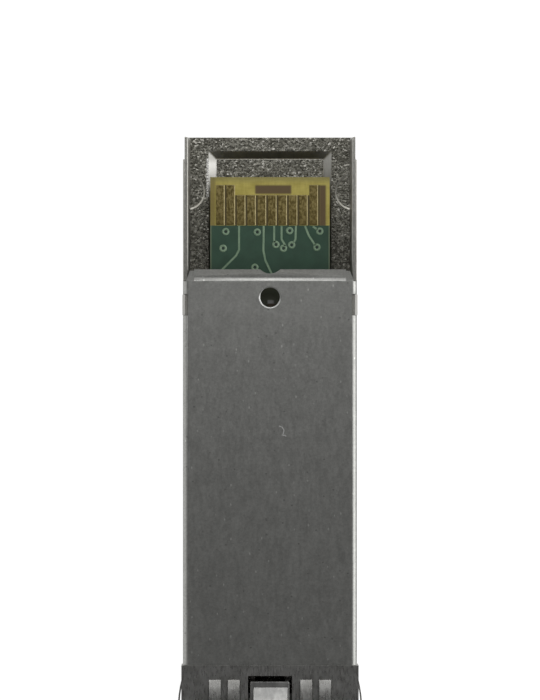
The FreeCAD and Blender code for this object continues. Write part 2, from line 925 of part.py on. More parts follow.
def turned_barrel(name, side):
    """Turned receptacle: ferrule tube, flange, waist and the holder that takes the can."""
    body = new_body(name)
    profile = new_sketch(body, name + "_profile", "XY")
    tip = PORT_END - S.barrel_reach
    flange = WALL_BACK + S.flange_length
    waist = flange + S.waist_length
    mouth = S.ferrule_radius + S.barrel_mouth
    lead = 0.25
    seat = tip + 2 * lead
    draw_outline(
        profile,
        [
            (mouth + lead, tip),
            (S.barrel_radius - lead, tip),
            (S.barrel_radius, tip + lead),
            (S.barrel_radius, WALL_BACK),
            (S.flange_radius, WALL_BACK),
            (S.flange_radius, flange),
            (S.waist_radius, flange),
            (S.waist_radius, waist),
            (S.holder_radius, waist),
            (S.holder_radius, BARREL_BACK),
            (0, BARREL_BACK),
            (0, seat + S.sleeve_length),
            (S.sleeve_radius, seat + S.sleeve_length),
            (S.sleeve_radius, seat),
            (mouth, seat),
        ],
    )
    turned = body.newObject("PartDesign::Revolution", name + "_turned")
    turned.Profile = profile
    turned.ReferenceAxis = (origin_part(body, "Y_Axis"), [""])
    turned.Angle = 360.0
    return place(body, PORT_SIDE * side, 0, PORT_AXIS)


def ferrule_sleeve(name, side):
    """Ceramic sleeve that takes the plug's ferrule."""
    axis = (PORT_SIDE * side, PORT_AXIS)
    start = PORT_END - S.barrel_reach + 0.5
    span = (start, start + S.sleeve_length)
    outer = rod(name + "_outer", "Y", S.sleeve_radius - 0.01, axis, span)
    bore = rod(name + "_bore", "Y", S.ferrule_radius, axis, (start - OVER, start + S.sleeve_length + OVER))
    return cut(name, outer, bore)


def optical_can(name, side, leads):
    """Metal can with its header and leads."""
    axis = PORT_SIDE * side
    header_front = BARREL_BACK + S.can_length
    pieces = [
        rod(name + "_cap", "Y", S.can_radius, (axis, PORT_AXIS), (BARREL_BACK, header_front)),
        rod(name + "_header", "Y", S.header_radius, (axis, PORT_AXIS), (header_front, HEADER_BACK)),
    ]
    for index, (across, up) in enumerate(ring_of(leads, 1.0)):
        pieces.append(
            rod(
                f"{name}_lead_{index}",
                "Y",
                S.lead_radius,
                (axis + S.lead_circle * across, PORT_AXIS + S.lead_circle * up),
                (HEADER_BACK - S.header_length / 2, HEADER_BACK + S.lead_length),
            )
        )
    return fuse(name, *pieces)


def flex_circuit(name, side, leads):
    """Bent flexible circuit from the can's leads to the board."""
    body = new_body(name + "_strip")
    profile = new_sketch(body, name + "_profile", "YZ")
    low = PORT_AXIS - S.lead_circle - 2 * S.lead_radius
    top = BOARD_TOP + S.flex_thickness
    inside = S.flex_bend - S.flex_thickness
    end = S.board_front + S.flex_overlap
    draw_outline(
        profile,
        [
            (FLEX_Y, low),
            (FLEX_Y + S.flex_thickness, low),
            (FLEX_Y + S.flex_thickness, BOARD_TOP - inside),
            (FLEX_Y + S.flex_bend, BOARD_TOP),
            (end, BOARD_TOP),
            (end, top),
            (FLEX_Y + S.flex_bend, top),
            (FLEX_Y, top - S.flex_bend),
        ],
        {2: (inside, False), 6: (S.flex_bend, True)},
    )
    grow(body, "Pad", name + "_sheet", profile, S.flex_width, symmetric=True)
    place(body, PORT_SIDE * side, 0, 0)
    holes = [
        rod(
            f"{name}_hole_{index}",
            "Y",
            S.lead_radius + 0.03,
            (PORT_SIDE * side + S.lead_circle * across, PORT_AXIS + S.lead_circle * up),
            (FLEX_Y - OVER / 10, FLEX_Y + S.flex_thickness + OVER / 10),
        )
        for index, (across, up) in enumerate(ring_of(leads, 1.0))
    ]
    return cut(name, body, *holes)


def optics_clamp():
    """Fork that stands on the floor over both waists and keeps the flanges on the port wall."""
    flange = WALL_BACK + S.flange_length
    span = (flange + S.clamp_gap, flange + S.waist_length - S.clamp_gap)
    half = CAVITY_HALF - S.clamp_gap
    top = PORT_AXIS + S.flange_radius
    blank = box("clamp_blank", (-half, half), span, (S.floor_thickness, top))
    tools = []
    saddle = S.waist_radius + S.clamp_gap
    for index, side in enumerate(SIDES):
        axis = PORT_SIDE * side
        reach = (span[0] - OVER / 20, span[1] + OVER / 20)
        tools.append(rod(f"saddle_{index}", "Y", saddle, (axis, PORT_AXIS), reach))
        tools.append(
            box(
                f"saddle_mouth_{index}",
                (axis - saddle, axis + saddle),
                reach,
                (S.floor_thickness - OVER, PORT_AXIS),
            )
        )
    return cut("optics_clamp", blank, *tools)


def chip(name, x, y, width, length, height, above=True):
    """Component body standing on one face of the board."""
    z = (BOARD_TOP, BOARD_TOP + height) if above else (BOARD_UNDER - height, BOARD_UNDER)
    return box(name, (x - width / 2, x + width / 2), (y - length / 2, y + length / 2), z)


def passives(name, spots, length, width, height):
    """Group of equal two-terminal components; each spot is (x, y from the board's front, laid across)."""
    pieces = []
    for index, (x, y, across) in enumerate(spots):
        sizes = (length, width) if across else (width, length)
        spot = (S.passive_pitch * x, S.board_front + S.passive_pitch * y)
        pieces.append(chip(f"{name}_{index}", *spot, *sizes, height))
    return group(name, pieces)


def finger(name, along, turn):
    """Arched spring finger; along is its middle across the strip, turn the face it stands on."""
    half = S.finger_length / 2 + S.collar_thickness
    radius = half * half / (2 * S.finger_rise) + S.finger_rise / 2
    middle = STOP + S.collar_length / 2 - S.collar_thickness
    face = S.body_height if turn == "top" else HALF * turn
    sign = 1 if turn == "top" else turn
    crest = face + (S.collar_thickness + S.finger_rise) * sign
    centre = crest - radius * sign
    span = (along - S.finger_width / 2, along + S.finger_width / 2)
    axis = "X" if turn == "top" else "Z"
    spot = (middle, centre) if turn == "top" else (centre, middle)
    outer = rod(name + "_outer", axis, radius, spot, span)
    inner = rod(name + "_inner", axis, radius - S.collar_thickness, spot, span)
    arch = cut(name + "_arch", outer, inner)
    depth = sorted((face + 0.0, crest + OVER * sign), key=lambda mark: mark.value)
    y = (middle - half, middle + half)
    keep = box(name + "_keep", span, y, depth) if turn == "top" else box(name + "_keep", depth, y, span)
    return overlap(name, arch, keep)


def shield_collar():
    """Spring-finger collar over the front of the cover, open at the latch and at the label side."""
    outer_half = HALF + S.collar_thickness
    outer_top = S.body_height + S.collar_thickness
    span = (STOP + S.collar_thickness, STOP + S.collar_length)
    foot = S.body_height - S.collar_depth
    sleeve = cut(
        "collar_sleeve",
        box("collar_block", (-outer_half, outer_half), span, (foot, outer_top)),
        box(
            "collar_inside",
            (-HALF, HALF),
            (STOP - OVER, STOP + S.collar_length + OVER),
            (foot - OVER, S.body_height),
        ),
        box(
            "collar_latch_window",
            (-S.latch_window_width / 2, S.latch_window_width / 2),
            (STOP - OVER, S.latch_window_length),
            (S.body_height - OVER, outer_top + OVER),
        ),
    )
    middle = STOP + S.collar_length / 2 - S.collar_thickness
    window = (middle - S.finger_length / 2, middle + S.finger_length / 2)
    play = S.finger_width / 2 + 0.1
    fingers = []
    openings = []
    for index, side in enumerate(SIDES):
        for row in range(3):
            level = PORT_AXIS + S.finger_pitch * (row - 1)
            fingers.append(finger(f"side_finger_{index}_{row}", level, side))
            depth = ((HALF - OVER / 10) * side, (outer_half + OVER) * side)
            ends = sorted(depth, key=lambda mark: mark.value)
            openings.append(box(f"side_opening_{index}_{row}", ends, window, (level - play, level + play)))
        for row in range(2):
            place_x = (S.latch_window_width / 2 + S.finger_pitch * (row + 0.75)) * side
            fingers.append(finger(f"top_finger_{index}_{row}", place_x, "top"))
            openings.append(
                box(
                    f"top_opening_{index}_{row}",
                    (place_x - play, place_x + play),
                    window,
                    (S.body_height - OVER / 10, outer_top + OVER),
                )
            )
    return fuse("shield_collar", cut("collar_frame", sleeve, *openings), *fingers)


def latch_lever():
    """Rocker: flat rear arm with the latch boss, knuckle on the pin, raised tail over the cam."""
    body = new_body("latch_lever")
    rear_end = S.boss_length + S.lever_recess * 3
    tail_end = FRONT + S.lever_recess
    rise_back = PIN_Y - 2 * S.knuckle_radius
    rise_front = rise_back - S.lever_thickness
    arm = new_sketch(body, "lever_profile", "YZ")
    draw_outline(
        arm,
        [
            (rear_end, LEVER_UNDER),
            (rear_end, LEVER_TOP),
            (rise_back, LEVER_TOP),
            (rise_front, TAIL_TOP),
            (tail_end, TAIL_TOP),
            (tail_end, TAIL_UNDER),
            (rise_front, TAIL_UNDER),
            (rise_back, LEVER_UNDER),
        ],
    )
    grow(body, "Pad", "lever_arm", arm, S.lever_width, symmetric=True)
    knuckle = new_sketch(body, "lever_knuckle", "YZ")
    draw_circle(knuckle, PIN_Y, PIN_HEIGHT, S.knuckle_radius)
    grow(body, "Pad", "lever_knuckle_pad", knuckle, S.lever_width, symmetric=True)
    boss = new_sketch(body, "boss_profile", "YZ")
    crest = S.body_height + S.boss_height
    draw_outline(
        boss,
        [
            (0, PIN_HEIGHT),
            (0, crest),
            (S.lever_recess * 3, crest),
            (S.boss_length, LEVER_TOP),
            (S.boss_length, PIN_HEIGHT),
        ],
    )
    grow(body, "Pad", "latch_boss", boss, S.boss_width, symmetric=True)
    bore = new_sketch(body, "lever_bore", "YZ")
    draw_circle(bore, PIN_Y, PIN_HEIGHT, S.pin_radius + S.pin_play)
    grow(body, "Pocket", "lever_bore_cut", bore, S.lever_width * 2, symmetric=True)
    return body


def latch_pivot_pin():
    reach = LEVER_SLOT + S.pin_grip - 0.05
    return rod("latch_pivot_pin", "X", S.pin_radius, (PIN_Y, PIN_HEIGHT), (-reach, reach))


def latch_spring():
    """Bowed leaf spring between the slot floor and the lever's rear arm."""
    rise = LEVER_UNDER - LEVER_FLOOR - S.cam_play
    half = S.spring_span / 2
    radius = half * half / (2 * rise) + rise / 2
    middle = PORT_END - half - S.lever_play
    centre = (middle, LEVER_FLOOR + rise - radius)
    across = (-S.spring_width / 2, S.spring_width / 2)
    bow = cut(
        "spring_bow",
        rod("spring_outer", "X", radius, centre, across),
        rod("spring_inner", "X", radius - S.spring_thickness, centre, across),
    )
    keep = box("spring_keep", across, (middle - half, middle + half), (LEVER_FLOOR, LEVER_UNDER))
    return overlap("latch_spring", bow, keep)


def elbow(name, bend, radius, x, z, turn):
    """Quarter of a round wire bend in the XZ plane, turned about its own centre."""
    quarter = doc.addObject("Part::Torus", name)
    size(quarter, "Radius1", bend)
    size(quarter, "Radius2", radius)
    quarter.Angle3 = 90
    upright = FreeCAD.Rotation(FreeCAD.Vector(1, 0, 0), 90)
    return place(quarter, x, 0, z, upright * FreeCAD.Rotation(FreeCAD.Vector(0, 0, 1), turn))


def bail():
    """Bent wire whose eyes grip the cross shaft with its cam, made upright and then hung from the seats."""
    arm = NOSE_HALF + S.bail_gap + S.wire_radius
    length = (PIVOT_HEIGHT - S.wire_radius - S.bail_ground) / cosine(S.bail_tilt)
    bend = S.wire_bend
    run = arm - bend
    drop = length - bend
    pieces = [
        rod("bail_shaft", "X", S.wire_radius, (0, 0), (-arm, arm)),
        rod("bail_grip", "X", S.wire_radius, (0, -length), (-run, run)),
    ]
    for index, side in enumerate(SIDES):
        axis = arm * side
        eye = (axis - S.wire_radius, axis + S.wire_radius)
        pieces.append(rod(f"bail_eye_{index}", "X", S.bail_eye, (0, 0), eye))
        pieces.append(rod(f"bail_arm_{index}", "Z", S.wire_radius, (axis, 0), (-drop, 0)))
        turn = 225 + 45 * side
        pieces.append(elbow(f"bail_elbow_{index}", bend, S.wire_radius, run * side, -drop, turn))
    lobe_turn = S.bail_tilt + 225
    lobe = (S.cam_offset * cosine(lobe_turn), S.cam_offset * sine(lobe_turn))
    pieces.append(rod("bail_cam", "X", S.cam_radius, lobe, (-S.cam_width / 2, S.cam_width / 2)))
    loop = fuse("bail", *pieces)
    place(loop, 0, PIVOT_Y, PIVOT_HEIGHT, FreeCAD.Rotation(FreeCAD.Vector(-1, 0, 0), S.bail_tilt.value))
    loop.setExpression("Placement.Rotation.Angle", S.bail_tilt.text)
    return loop


# Spots of the passives: across, distance from the board's front end, laid across or along.
CAPACITORS = [
    (-4.6, 4.0, True),
    (-4.6, 5.2, True),
    (-0.6, 4.0, False),
    (0.6, 4.0, False),
    (4.6, 4.0, True),
    (4.6, 5.2, True),
    (-4.2, 12.0, False),
    (-4.2, 14.0, False),
    (4.2, 12.0, False),
    (4.2, 14.0, False),
    (0.07, 21.5, False),
    (2.4, 21.5, False),
]
RESISTORS = [
    (-1.8, 8.6, True),
    (0.0, 8.6, True),
    (1.8, 8.6, True),
    (-2.4, 21.5, False),
    (-3.4, 21.5, False),
    (3.4, 21.5, False),
]
INDUCTORS = [(-3.4, 18.4, False), (3.4, 18.4, False)]

TRANSMIT = 1
RECEIVE = -1

PIECES = {
    "housing": housing(),
    "bottom_cover": bottom_cover(),
    "circuit_board": circuit_board(),
    "contact_pads_lower": contact_pads("contact_pads_lower", BOARD_TOP, -S.pad_shift, (0, 1, 9)),
    "contact_pads_upper": contact_pads(
        "contact_pads_upper", BOARD_UNDER - S.pad_thickness, S.pad_shift, (0, 3, 6, 9)
    ),
    "transmitter_barrel": turned_barrel("transmitter_barrel", TRANSMIT),
    "transmitter_sleeve": ferrule_sleeve("transmitter_sleeve", TRANSMIT),
    "transmitter_can": optical_can("transmitter_can", TRANSMIT, 3),
    "transmitter_flex": flex_circuit("transmitter_flex", TRANSMIT, 3),
    "receiver_barrel": turned_barrel("receiver_barrel", RECEIVE),
    "receiver_sleeve": ferrule_sleeve("receiver_sleeve", RECEIVE),
    "receiver_can": optical_can("receiver_can", RECEIVE, 4),
    "receiver_flex": flex_circuit("receiver_flex", RECEIVE, 4),
    "optics_clamp": optics_clamp(),
    "laser_driver_chip": chip(
        "laser_driver_chip",
        CHIP_EDGE - S.driver_size / 2,
        S.board_front + S.driver_inset,
        S.driver_size,
        S.driver_size,
        S.chip_height,
        False,
    ),
    "receive_amplifier_chip": chip(
        "receive_amplifier_chip",
        S.amplifier_size / 2 - CHIP_EDGE,
        S.board_front + S.driver_inset,
        S.amplifier_size,
        S.amplifier_size,
        S.chip_height,
        False,
    ),
    "controller_chip": chip(
        "controller_chip",
        term(0),
        S.board_front + S.controller_inset,
        S.controller_size,
        S.controller_size,
        S.chip_height,
    ),
    "memory_chip": chip(
        "memory_chip",
        term(0),
        S.board_front + S.memory_inset,
        S.memory_width,
        S.memory_length,
        S.chip_height,
        False,
    ),
    "chip_capacitors": passives(
        "chip_capacitors", CAPACITORS, S.passive_length, S.passive_width, S.passive_height
    ),
    "chip_resistors": passives(
        "chip_resistors", RESISTORS, S.passive_length, S.passive_width, S.passive_height * 0.7
    ),
    "filter_inductors": passives(
        "filter_inductors", INDUCTORS, S.inductor_length, S.inductor_width, S.inductor_height
    ),
    "shield_collar": shield_collar(),
    "latch_lever": latch_lever(),
    "latch_pivot_pin": latch_pivot_pin(),
    "latch_spring": latch_spring(),
    "bail": bail(),
}
for node, piece in PIECES.items():
    piece.Label = node
doc.recompute()

for feature in doc.Objects:
    if "Invalid" in feature.State or "Error" in feature.State:
        raise RuntimeError(f"{feature.Label} did not build: {feature.State}")
os.makedirs("parts", exist_ok=True)
for node, piece in PIECES.items():
    shape = piece.Shape
    if shape.isNull() or not shape.isValid() or not shape.Solids:
        raise RuntimeError(f"{node} has no sound solid")
    shape.exportStep(f"parts/{node}.step")
    print(f"{node}: {len(shape.Solids)} solid(s), {shape.Volume:.2f} mm3")
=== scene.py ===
"""Looks of the pluggable transceiver: finishes, board artwork, small fittings, light and camera."""

import logging
import math
from collections.abc import Sequence
from dataclasses import dataclass
from enum import Enum

import bpy
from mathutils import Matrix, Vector


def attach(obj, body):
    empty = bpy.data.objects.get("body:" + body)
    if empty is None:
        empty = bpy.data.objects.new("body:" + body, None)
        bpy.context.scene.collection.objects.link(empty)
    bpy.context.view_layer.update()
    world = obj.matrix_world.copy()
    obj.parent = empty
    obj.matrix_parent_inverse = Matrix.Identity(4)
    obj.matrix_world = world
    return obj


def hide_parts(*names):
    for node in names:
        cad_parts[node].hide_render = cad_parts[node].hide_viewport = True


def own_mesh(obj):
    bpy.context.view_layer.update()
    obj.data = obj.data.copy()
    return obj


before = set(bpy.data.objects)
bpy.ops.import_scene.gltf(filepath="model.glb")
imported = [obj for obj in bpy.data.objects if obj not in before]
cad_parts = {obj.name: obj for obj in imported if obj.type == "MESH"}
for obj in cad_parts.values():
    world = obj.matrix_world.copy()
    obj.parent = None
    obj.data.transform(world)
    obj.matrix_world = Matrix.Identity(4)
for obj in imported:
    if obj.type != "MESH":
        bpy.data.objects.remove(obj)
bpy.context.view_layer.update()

LOG = logging.getLogger("transceiver")
MM = 0.001
WELD_MM = 0.0005
BEVEL_STEPS = 2
BEND_STEPS = 4
ROUND_STEPS = 8
CLOUD_SPAN = (0.2, 0.8)

Colour = tuple[float, float, float]
Point = tuple[float, float, float]
Spot = tuple[float, float]
Limits = tuple[float, float, float, float]
Line = Sequence[Spot]
Socket = bpy.types.NodeSocket


def tint(red: int, green: int, blue: int) -> Colour:
    """Turn a colour as seen on a screen (0 to 255) into linear light."""
    shares = (red / 255, green / 255, blue / 255)
    return tuple(s / 12.92 if s <= 0.04045 else ((s + 0.055) / 1.055) ** 2.4 for s in shares)


class Lay(Enum):
    """How a two-terminal chip lies on the board."""

    ALONG = "along"
    ACROSS = "across"


class Section(Enum):
    """Cross-section of a path laid on a face."""

    FLAT = "flat"
    ROUND = "round"


class Body(Enum):
    """Bodies that carry added pieces."""

    MODULE = "module"


Chip = tuple[float, float, Lay]


class NodeBench:
    """Bench on which the nodes of one tree are laid out and wired."""

    def __init__(self, tree: bpy.types.NodeTree) -> None:
        """Start on a tree."""
        self.tree = tree

    def node(self, kind: str, **settings: object) -> bpy.types.Node:
        """Add one node.

        Args:
            kind: Blender's identifier of the node.
            settings: Properties to set on it.

        Returns:
            The new node.
        """
        made = self.tree.nodes.new(kind)
        for key, value in settings.items():
            setattr(made, key, value)
        return made

    def feed(self, target: Socket, value: object) -> None:
        """Wire a socket, or set it where the value is plain.

        Args:
            target: Input socket.
            value: Another socket, or a number, colour or other plain value.
        """
        if isinstance(value, bpy.types.NodeSocket):
            self.tree.links.new(value, target)
        elif isinstance(value, tuple) and len(value) == 3 and target.type == "RGBA":
            target.default_value = (*value, 1.0)
        else:
            target.default_value = value

    def grow(
        self, kind: str, feeds: dict[str | int, object], output: str | int = 0, **settings: object
    ) -> Socket:
        """Add one node and feed its inputs.

        Args:
            kind: Blender's identifier of the node.
            feeds: Names or numbers of inputs, each with a socket, a plain value or a list of sockets.
            output: Name or number of the output that is given.
            settings: Properties to set on the node.

        Returns:
            The output.
        """
        made = self.node(kind, **settings)
        for key, value in feeds.items():
            for part in value if isinstance(value, list) else [value]:
                self.feed(made.inputs[key], part)
        return made.outputs[output]

    def calc(self, operation: str, first: object, second: object = 0.0) -> Socket:
        """Do one sum with numbers or sockets."""
        return self.grow("ShaderNodeMath", {0: first, 1: second}, operation=operation)

    def times(self, first: object, second: object) -> Socket:
        """Multiply two numbers or sockets."""
        return self.calc("MULTIPLY", first, second)


class ShaderBench(NodeBench):
    """Bench for the shader of one material."""

    def __init__(self, name: str) -> None:
        """Start an empty material with its surface shader.

        Args:
            name: Name of the material.
        """
        self.material = bpy.data.materials.new(name)
        self.material.use_nodes = True
        super().__init__(self.material.node_tree)
        self.tree.nodes.clear()
        self.surface = self.node("ShaderNodeBsdfPrincipled")
        self.output = self.node("ShaderNodeOutputMaterial")
        self.feed(self.output.inputs["Surface"], self.surface.outputs["BSDF"])
        where = self.node("ShaderNodeTexCoord")
        self.place = where.outputs["Object"]
        self.facing = where.outputs["Normal"]

    def sheen(self, **values: object) -> None:
        """Set inputs of the surface shader by name, with underscores for spaces."""
        for key, value in values.items():
            self.feed(self.surface.inputs[key.replace("_", " ")], value)

    def stretched(self, stretch: Point, shift: Point = (0.0, 0.0, 0.0)) -> Socket:
        """Give the place on the piece, stretched along each axis and shifted by metres."""
        return self.grow("ShaderNodeMapping", {"Vector": self.place, "Scale": stretch, "Location": shift})

    def noise(
        self, grain_mm: float, detail: float = 2.0, rough: float = 0.5, at: Socket | None = None
    ) -> Socket:
        """Cloudy noise with grains of a given size.

        Args:
            grain_mm: Size of the grains in millimetres.
            detail: Number of finer layers.
            rough: Weight of the finer layers.
            at: Place to read, the piece's own place if left out.

        Returns:
            A value around 0.5.
        """
        scale = 1.0 / (grain_mm * MM)
        feeds = {"Vector": at or self.place, "Scale": scale, "Detail": detail, "Roughness": rough}
        return self.grow("ShaderNodeTexNoise", feeds)

    def cells(self, pitch_mm: float, output: str = "Distance", at: Socket | None = None) -> Socket:
        """Scatter cells, for specks and pits, and give the chosen output of the texture."""
        feeds = {"Vector": at or self.place, "Scale": 1.0 / (pitch_mm * MM)}
        return self.grow("ShaderNodeTexVoronoi", feeds, output)

    def weigh(self, *terms: tuple[Socket, float]) -> Socket:
        """Add up patterns by weight.

        Args:
            terms: Patterns, each with its weight.

        Returns:
            The weighted sum.
        """
        total, *others = [self.times(pattern, weight) for pattern, weight in terms]
        for part in others:
            total = self.calc("ADD", total, part)
        return total

    def step(self, value: Socket, low: float, high: float, start: float = 0.0, end: float = 1.0) -> Socket:
        """Go smoothly from start to end while the value goes from low to high."""
        feeds = {"Value": value, "From Min": low, "From Max": high, "To Min": start, "To Max": end}
        return self.grow("ShaderNodeMapRange", feeds, interpolation_type="SMOOTHSTEP")

    def ramp(self, value: Socket, span_mm: Spot, start: float = 0.0, end: float = 1.0) -> Socket:
        """Go smoothly from start to end between two marks in millimetres."""
        return self.step(value, span_mm[0] * MM, span_mm[1] * MM, start, end)

    def blend(self, share: Socket, first: object, second: object) -> Socket:
        """Mix two colours, given the share of the second."""
        return self.grow("ShaderNodeMix", {0: share, 6: first, 7: second}, 2, data_type="RGBA")

    def axes(self, vector: Socket | None = None) -> tuple[Socket, Socket, Socket]:
        """Split a vector into X, Y and Z.

        Args:
            vector: What is split, the place on the piece if left out.

        Returns:
            Its three parts.
        """
        made = self.node("ShaderNodeSeparateXYZ")
        self.feed(made.inputs[0], vector or self.place)
        return tuple(made.outputs)

    def within(self, value: Socket, low_mm: float, high_mm: float, soft_mm: float = 0.02) -> Socket:
        """Tell whether a place on one axis lies between two marks.

        Args:
            value: Place on the axis, in metres.
            low_mm: Lower mark in millimetres.
            high_mm: Upper mark in millimetres.
            soft_mm: Width of the soft edge in millimetres.

        Returns:
            1 inside, 0 outside.
        """
        rise = self.ramp(value, (low_mm - soft_mm, low_mm + soft_mm))
        fall = self.ramp(value, (high_mm - soft_mm, high_mm + soft_mm), 1.0, 0.0)
        return self.times(rise, fall)

    def oblong(self, limits_mm: Limits, soft_mm: float) -> Socket:
        """Mark one oblong, seen from above.

        Args:
            limits_mm: Its limits across, then along, in millimetres.
            soft_mm: Width of its soft edge in millimetres.

        Returns:
            1 inside, 0 outside.
        """
        across, along, _ = self.axes()
        low_x, high_x, low_y, high_y = limits_mm
        inside = self.within(across, low_x, high_x, soft_mm)
        return self.times(inside, self.within(along, low_y, high_y, soft_mm))

    def relief(self, height: Socket, depth_mm: float) -> None:
        """Raise the surface by a pattern from 0 to 1 of a given depth."""
        self.sheen(Normal=self.grow("ShaderNodeBump", {"Distance": depth_mm * MM, "Height": height}))


@dataclass(frozen=True)
class Finish:
    """Base of every finish: a name, two tones and a gloss."""

    name: str
    dark: Colour
    light: Colour
    roughness: float = 0.4
    metallic: float = 1.0

    def make(self) -> bpy.types.Material:
        """Build the material.

        Returns:
            The finished material.
        """
        bench = ShaderBench(self.name)
        bench.sheen(Metallic=self.metallic)
        self.lay_out(bench)
        return bench.material

    def lay_out(self, bench: ShaderBench) -> None:
        """Lay out the pattern, which each kind of finish does in its own way."""
        raise NotImplementedError

    def tones(self, bench: ShaderBench, pattern: Socket, low: float, high: float) -> Socket:
        """Go from the dark to the light tone while a pattern goes from low to high."""
        return bench.blend(bench.step(pattern, low, high), self.dark, self.light)

    def gloss(self, bench: ShaderBench, pattern: Socket, spread: float) -> None:
        """Let the roughness follow a pattern.

        Args:
            bench: Bench of the finish.
            pattern: Value from 0 to 1.
            spread: Difference of roughness over the pattern.
        """
        half = spread / 2
        value = bench.step(pattern, *CLOUD_SPAN, self.roughness - half, self.roughness + half)
        bench.sheen(Roughness=value)


@dataclass(frozen=True)
class CastMetal(Finish):
    """Plated die casting: grain with painted glints on the flats, smooth drawn walls, painted highlights on
    some edges and walls.
    """

    wall: Colour = (0.55, 0.543, 0.507)
    wall_roughness: float = 0.37
    # Painted glint colour, for grain facets and gently sloped rims.
    painted_glint: Colour = (0.77, 0.75, 0.68)
    # Painted highlight colour for the catches beside the cover.
    catch_highlight: Colour = (0.66, 0.65, 0.61)
    facet_mm: float = 0.13
    grain_mm: float = 0.17
    relief_mm: float = 0.024
    grain_below_mm: Spot = (4.0, 5.0)
    wall_range: Spot = (0.9, 1.08)
    catch_mm: Limits = (31.1, 33.0, 4.9, 8.5)
    # Colour of the painted highlights beside the board's left edge and on the bay's left wall.
    painted_highlight: Colour = (0.95, 0.94, 0.90)
    edge_highlight_mm: Limits = (-4.9, -4.7, 40.4, 43.4)
    edge_highlight_soft_mm: float = 0.06
    # Painted highlight on the bay's left wall near the board's rear end.
    wall_highlight_mm: Limits = (-5.1, -3.5, 41.2, 43.15)
    wall_highlight_soft_mm: float = 0.3
    wall_highlight_share: float = 0.66
    # Painted glints and grain relief fade to half towards the front.
    front_fade_mm: Spot = (36.0, 39.5)
    front_fade_share: float = 0.5
    cloud_mm: float = 2.2
    drag_mm: float = 0.5
    flat_from: Spot = (0.975, 0.995)
    wall_grain: float = 0.04
    upper_grain: float = 0.25
    glint_from: Spot = (0.88, 0.98)
    # Gently sloped faces that get the painted glint colour as a painted highlight.
    slope_from: Spot = (0.93, 0.96)
    slope_to: Spot = (0.984, 0.992)
    polish: float = 0.08

    def lay_out(self, bench: ShaderBench) -> None:
        """Lay out the pattern of the finish.

        Args:
            bench: Bench of the finish.
        """
        grain = bench.noise(self.grain_mm, 3.0, 0.65)
        clouds = bench.noise(self.cloud_mm)
        _, _, up = bench.axes(bench.facing)
        _, along, level = bench.axes()
        low = bench.ramp(level, self.grain_below_mm, 1.0, self.upper_grain)
        flat = bench.step(bench.calc("ABSOLUTE", up), *self.flat_from, self.wall_grain)
        flat = bench.times(flat, low)
        # Painted glints and grain relief fade to half towards the front.
        front_fade = bench.ramp(along, self.front_fade_mm, self.front_fade_share)
        facet = bench.axes(bench.cells(self.facet_mm, "Color"))[0]
        tone = bench.weigh((grain, 0.35), (clouds, 0.25), (facet, 0.4))
        plating = self.tones(bench, tone, 0.30, 0.80)
        # Painted glints: random grain facets get a lighter colour.
        glint = bench.times(bench.step(facet, *self.glint_from), front_fade)
        plating = bench.blend(glint, plating, self.painted_glint)
        # Painted highlight: a light stripe beside the board's left edge.
        edge = bench.oblong(self.edge_highlight_mm, self.edge_highlight_soft_mm)
        plating = bench.blend(edge, plating, self.painted_highlight)
        bench.sheen(Base_Color=bench.blend(flat, self.walls_and_highlights(bench), plating))
        polish = bench.step(grain, *CLOUD_SPAN, self.roughness - self.polish, self.roughness + self.polish)
        sides = bench.times(bench.calc("SUBTRACT", 1.0, flat), self.wall_roughness)
        bench.sheen(Roughness=bench.calc("ADD", bench.times(polish, flat), sides))
        bench.relief(bench.times(bench.times(grain, flat), front_fade), self.relief_mm)

    def walls_and_highlights(self, bench: ShaderBench) -> Socket:
        """Tone of the walls, with painted highlights on the catches that the cover snaps over, on gently
        sloped rims and on the bay's left wall.

        Args:
            bench: Bench of the finish.

        Returns:
            The colour of the walls.
        """
        _, along, level = bench.axes()
        # Painted highlight: the catches that the cover snaps over get a lighter colour.
        low_y, high_y, low_z, high_z = self.catch_mm
        catch = bench.times(bench.within(along, low_y, high_y), bench.within(level, low_z, high_z))
        drag = bench.noise(self.drag_mm, 4.0, 0.7, bench.stretched((1.0, 0.25, 1.0)))
        dull, clean = [tuple(c * share for c in self.wall) for share in self.wall_range]
        wall = bench.blend(bench.step(drag, 0.3, 0.7), dull, clean)
        _, _, up = bench.axes(bench.facing)
        # Painted highlight: gently sloped faces, such as the rims of the ejector marks, get the glint
        # colour.
        rise = bench.step(up, *self.slope_from)
        ring = bench.times(rise, bench.step(up, *self.slope_to, 1.0, 0.0))
        wall = bench.blend(ring, wall, self.painted_glint)
        # Painted highlight on the bay's left wall near the board's rear end.
        side = bench.oblong(self.wall_highlight_mm, self.wall_highlight_soft_mm)
        wall = bench.blend(bench.times(side, self.wall_highlight_share), wall, self.painted_highlight)
        return bench.blend(catch, wall, self.catch_highlight)


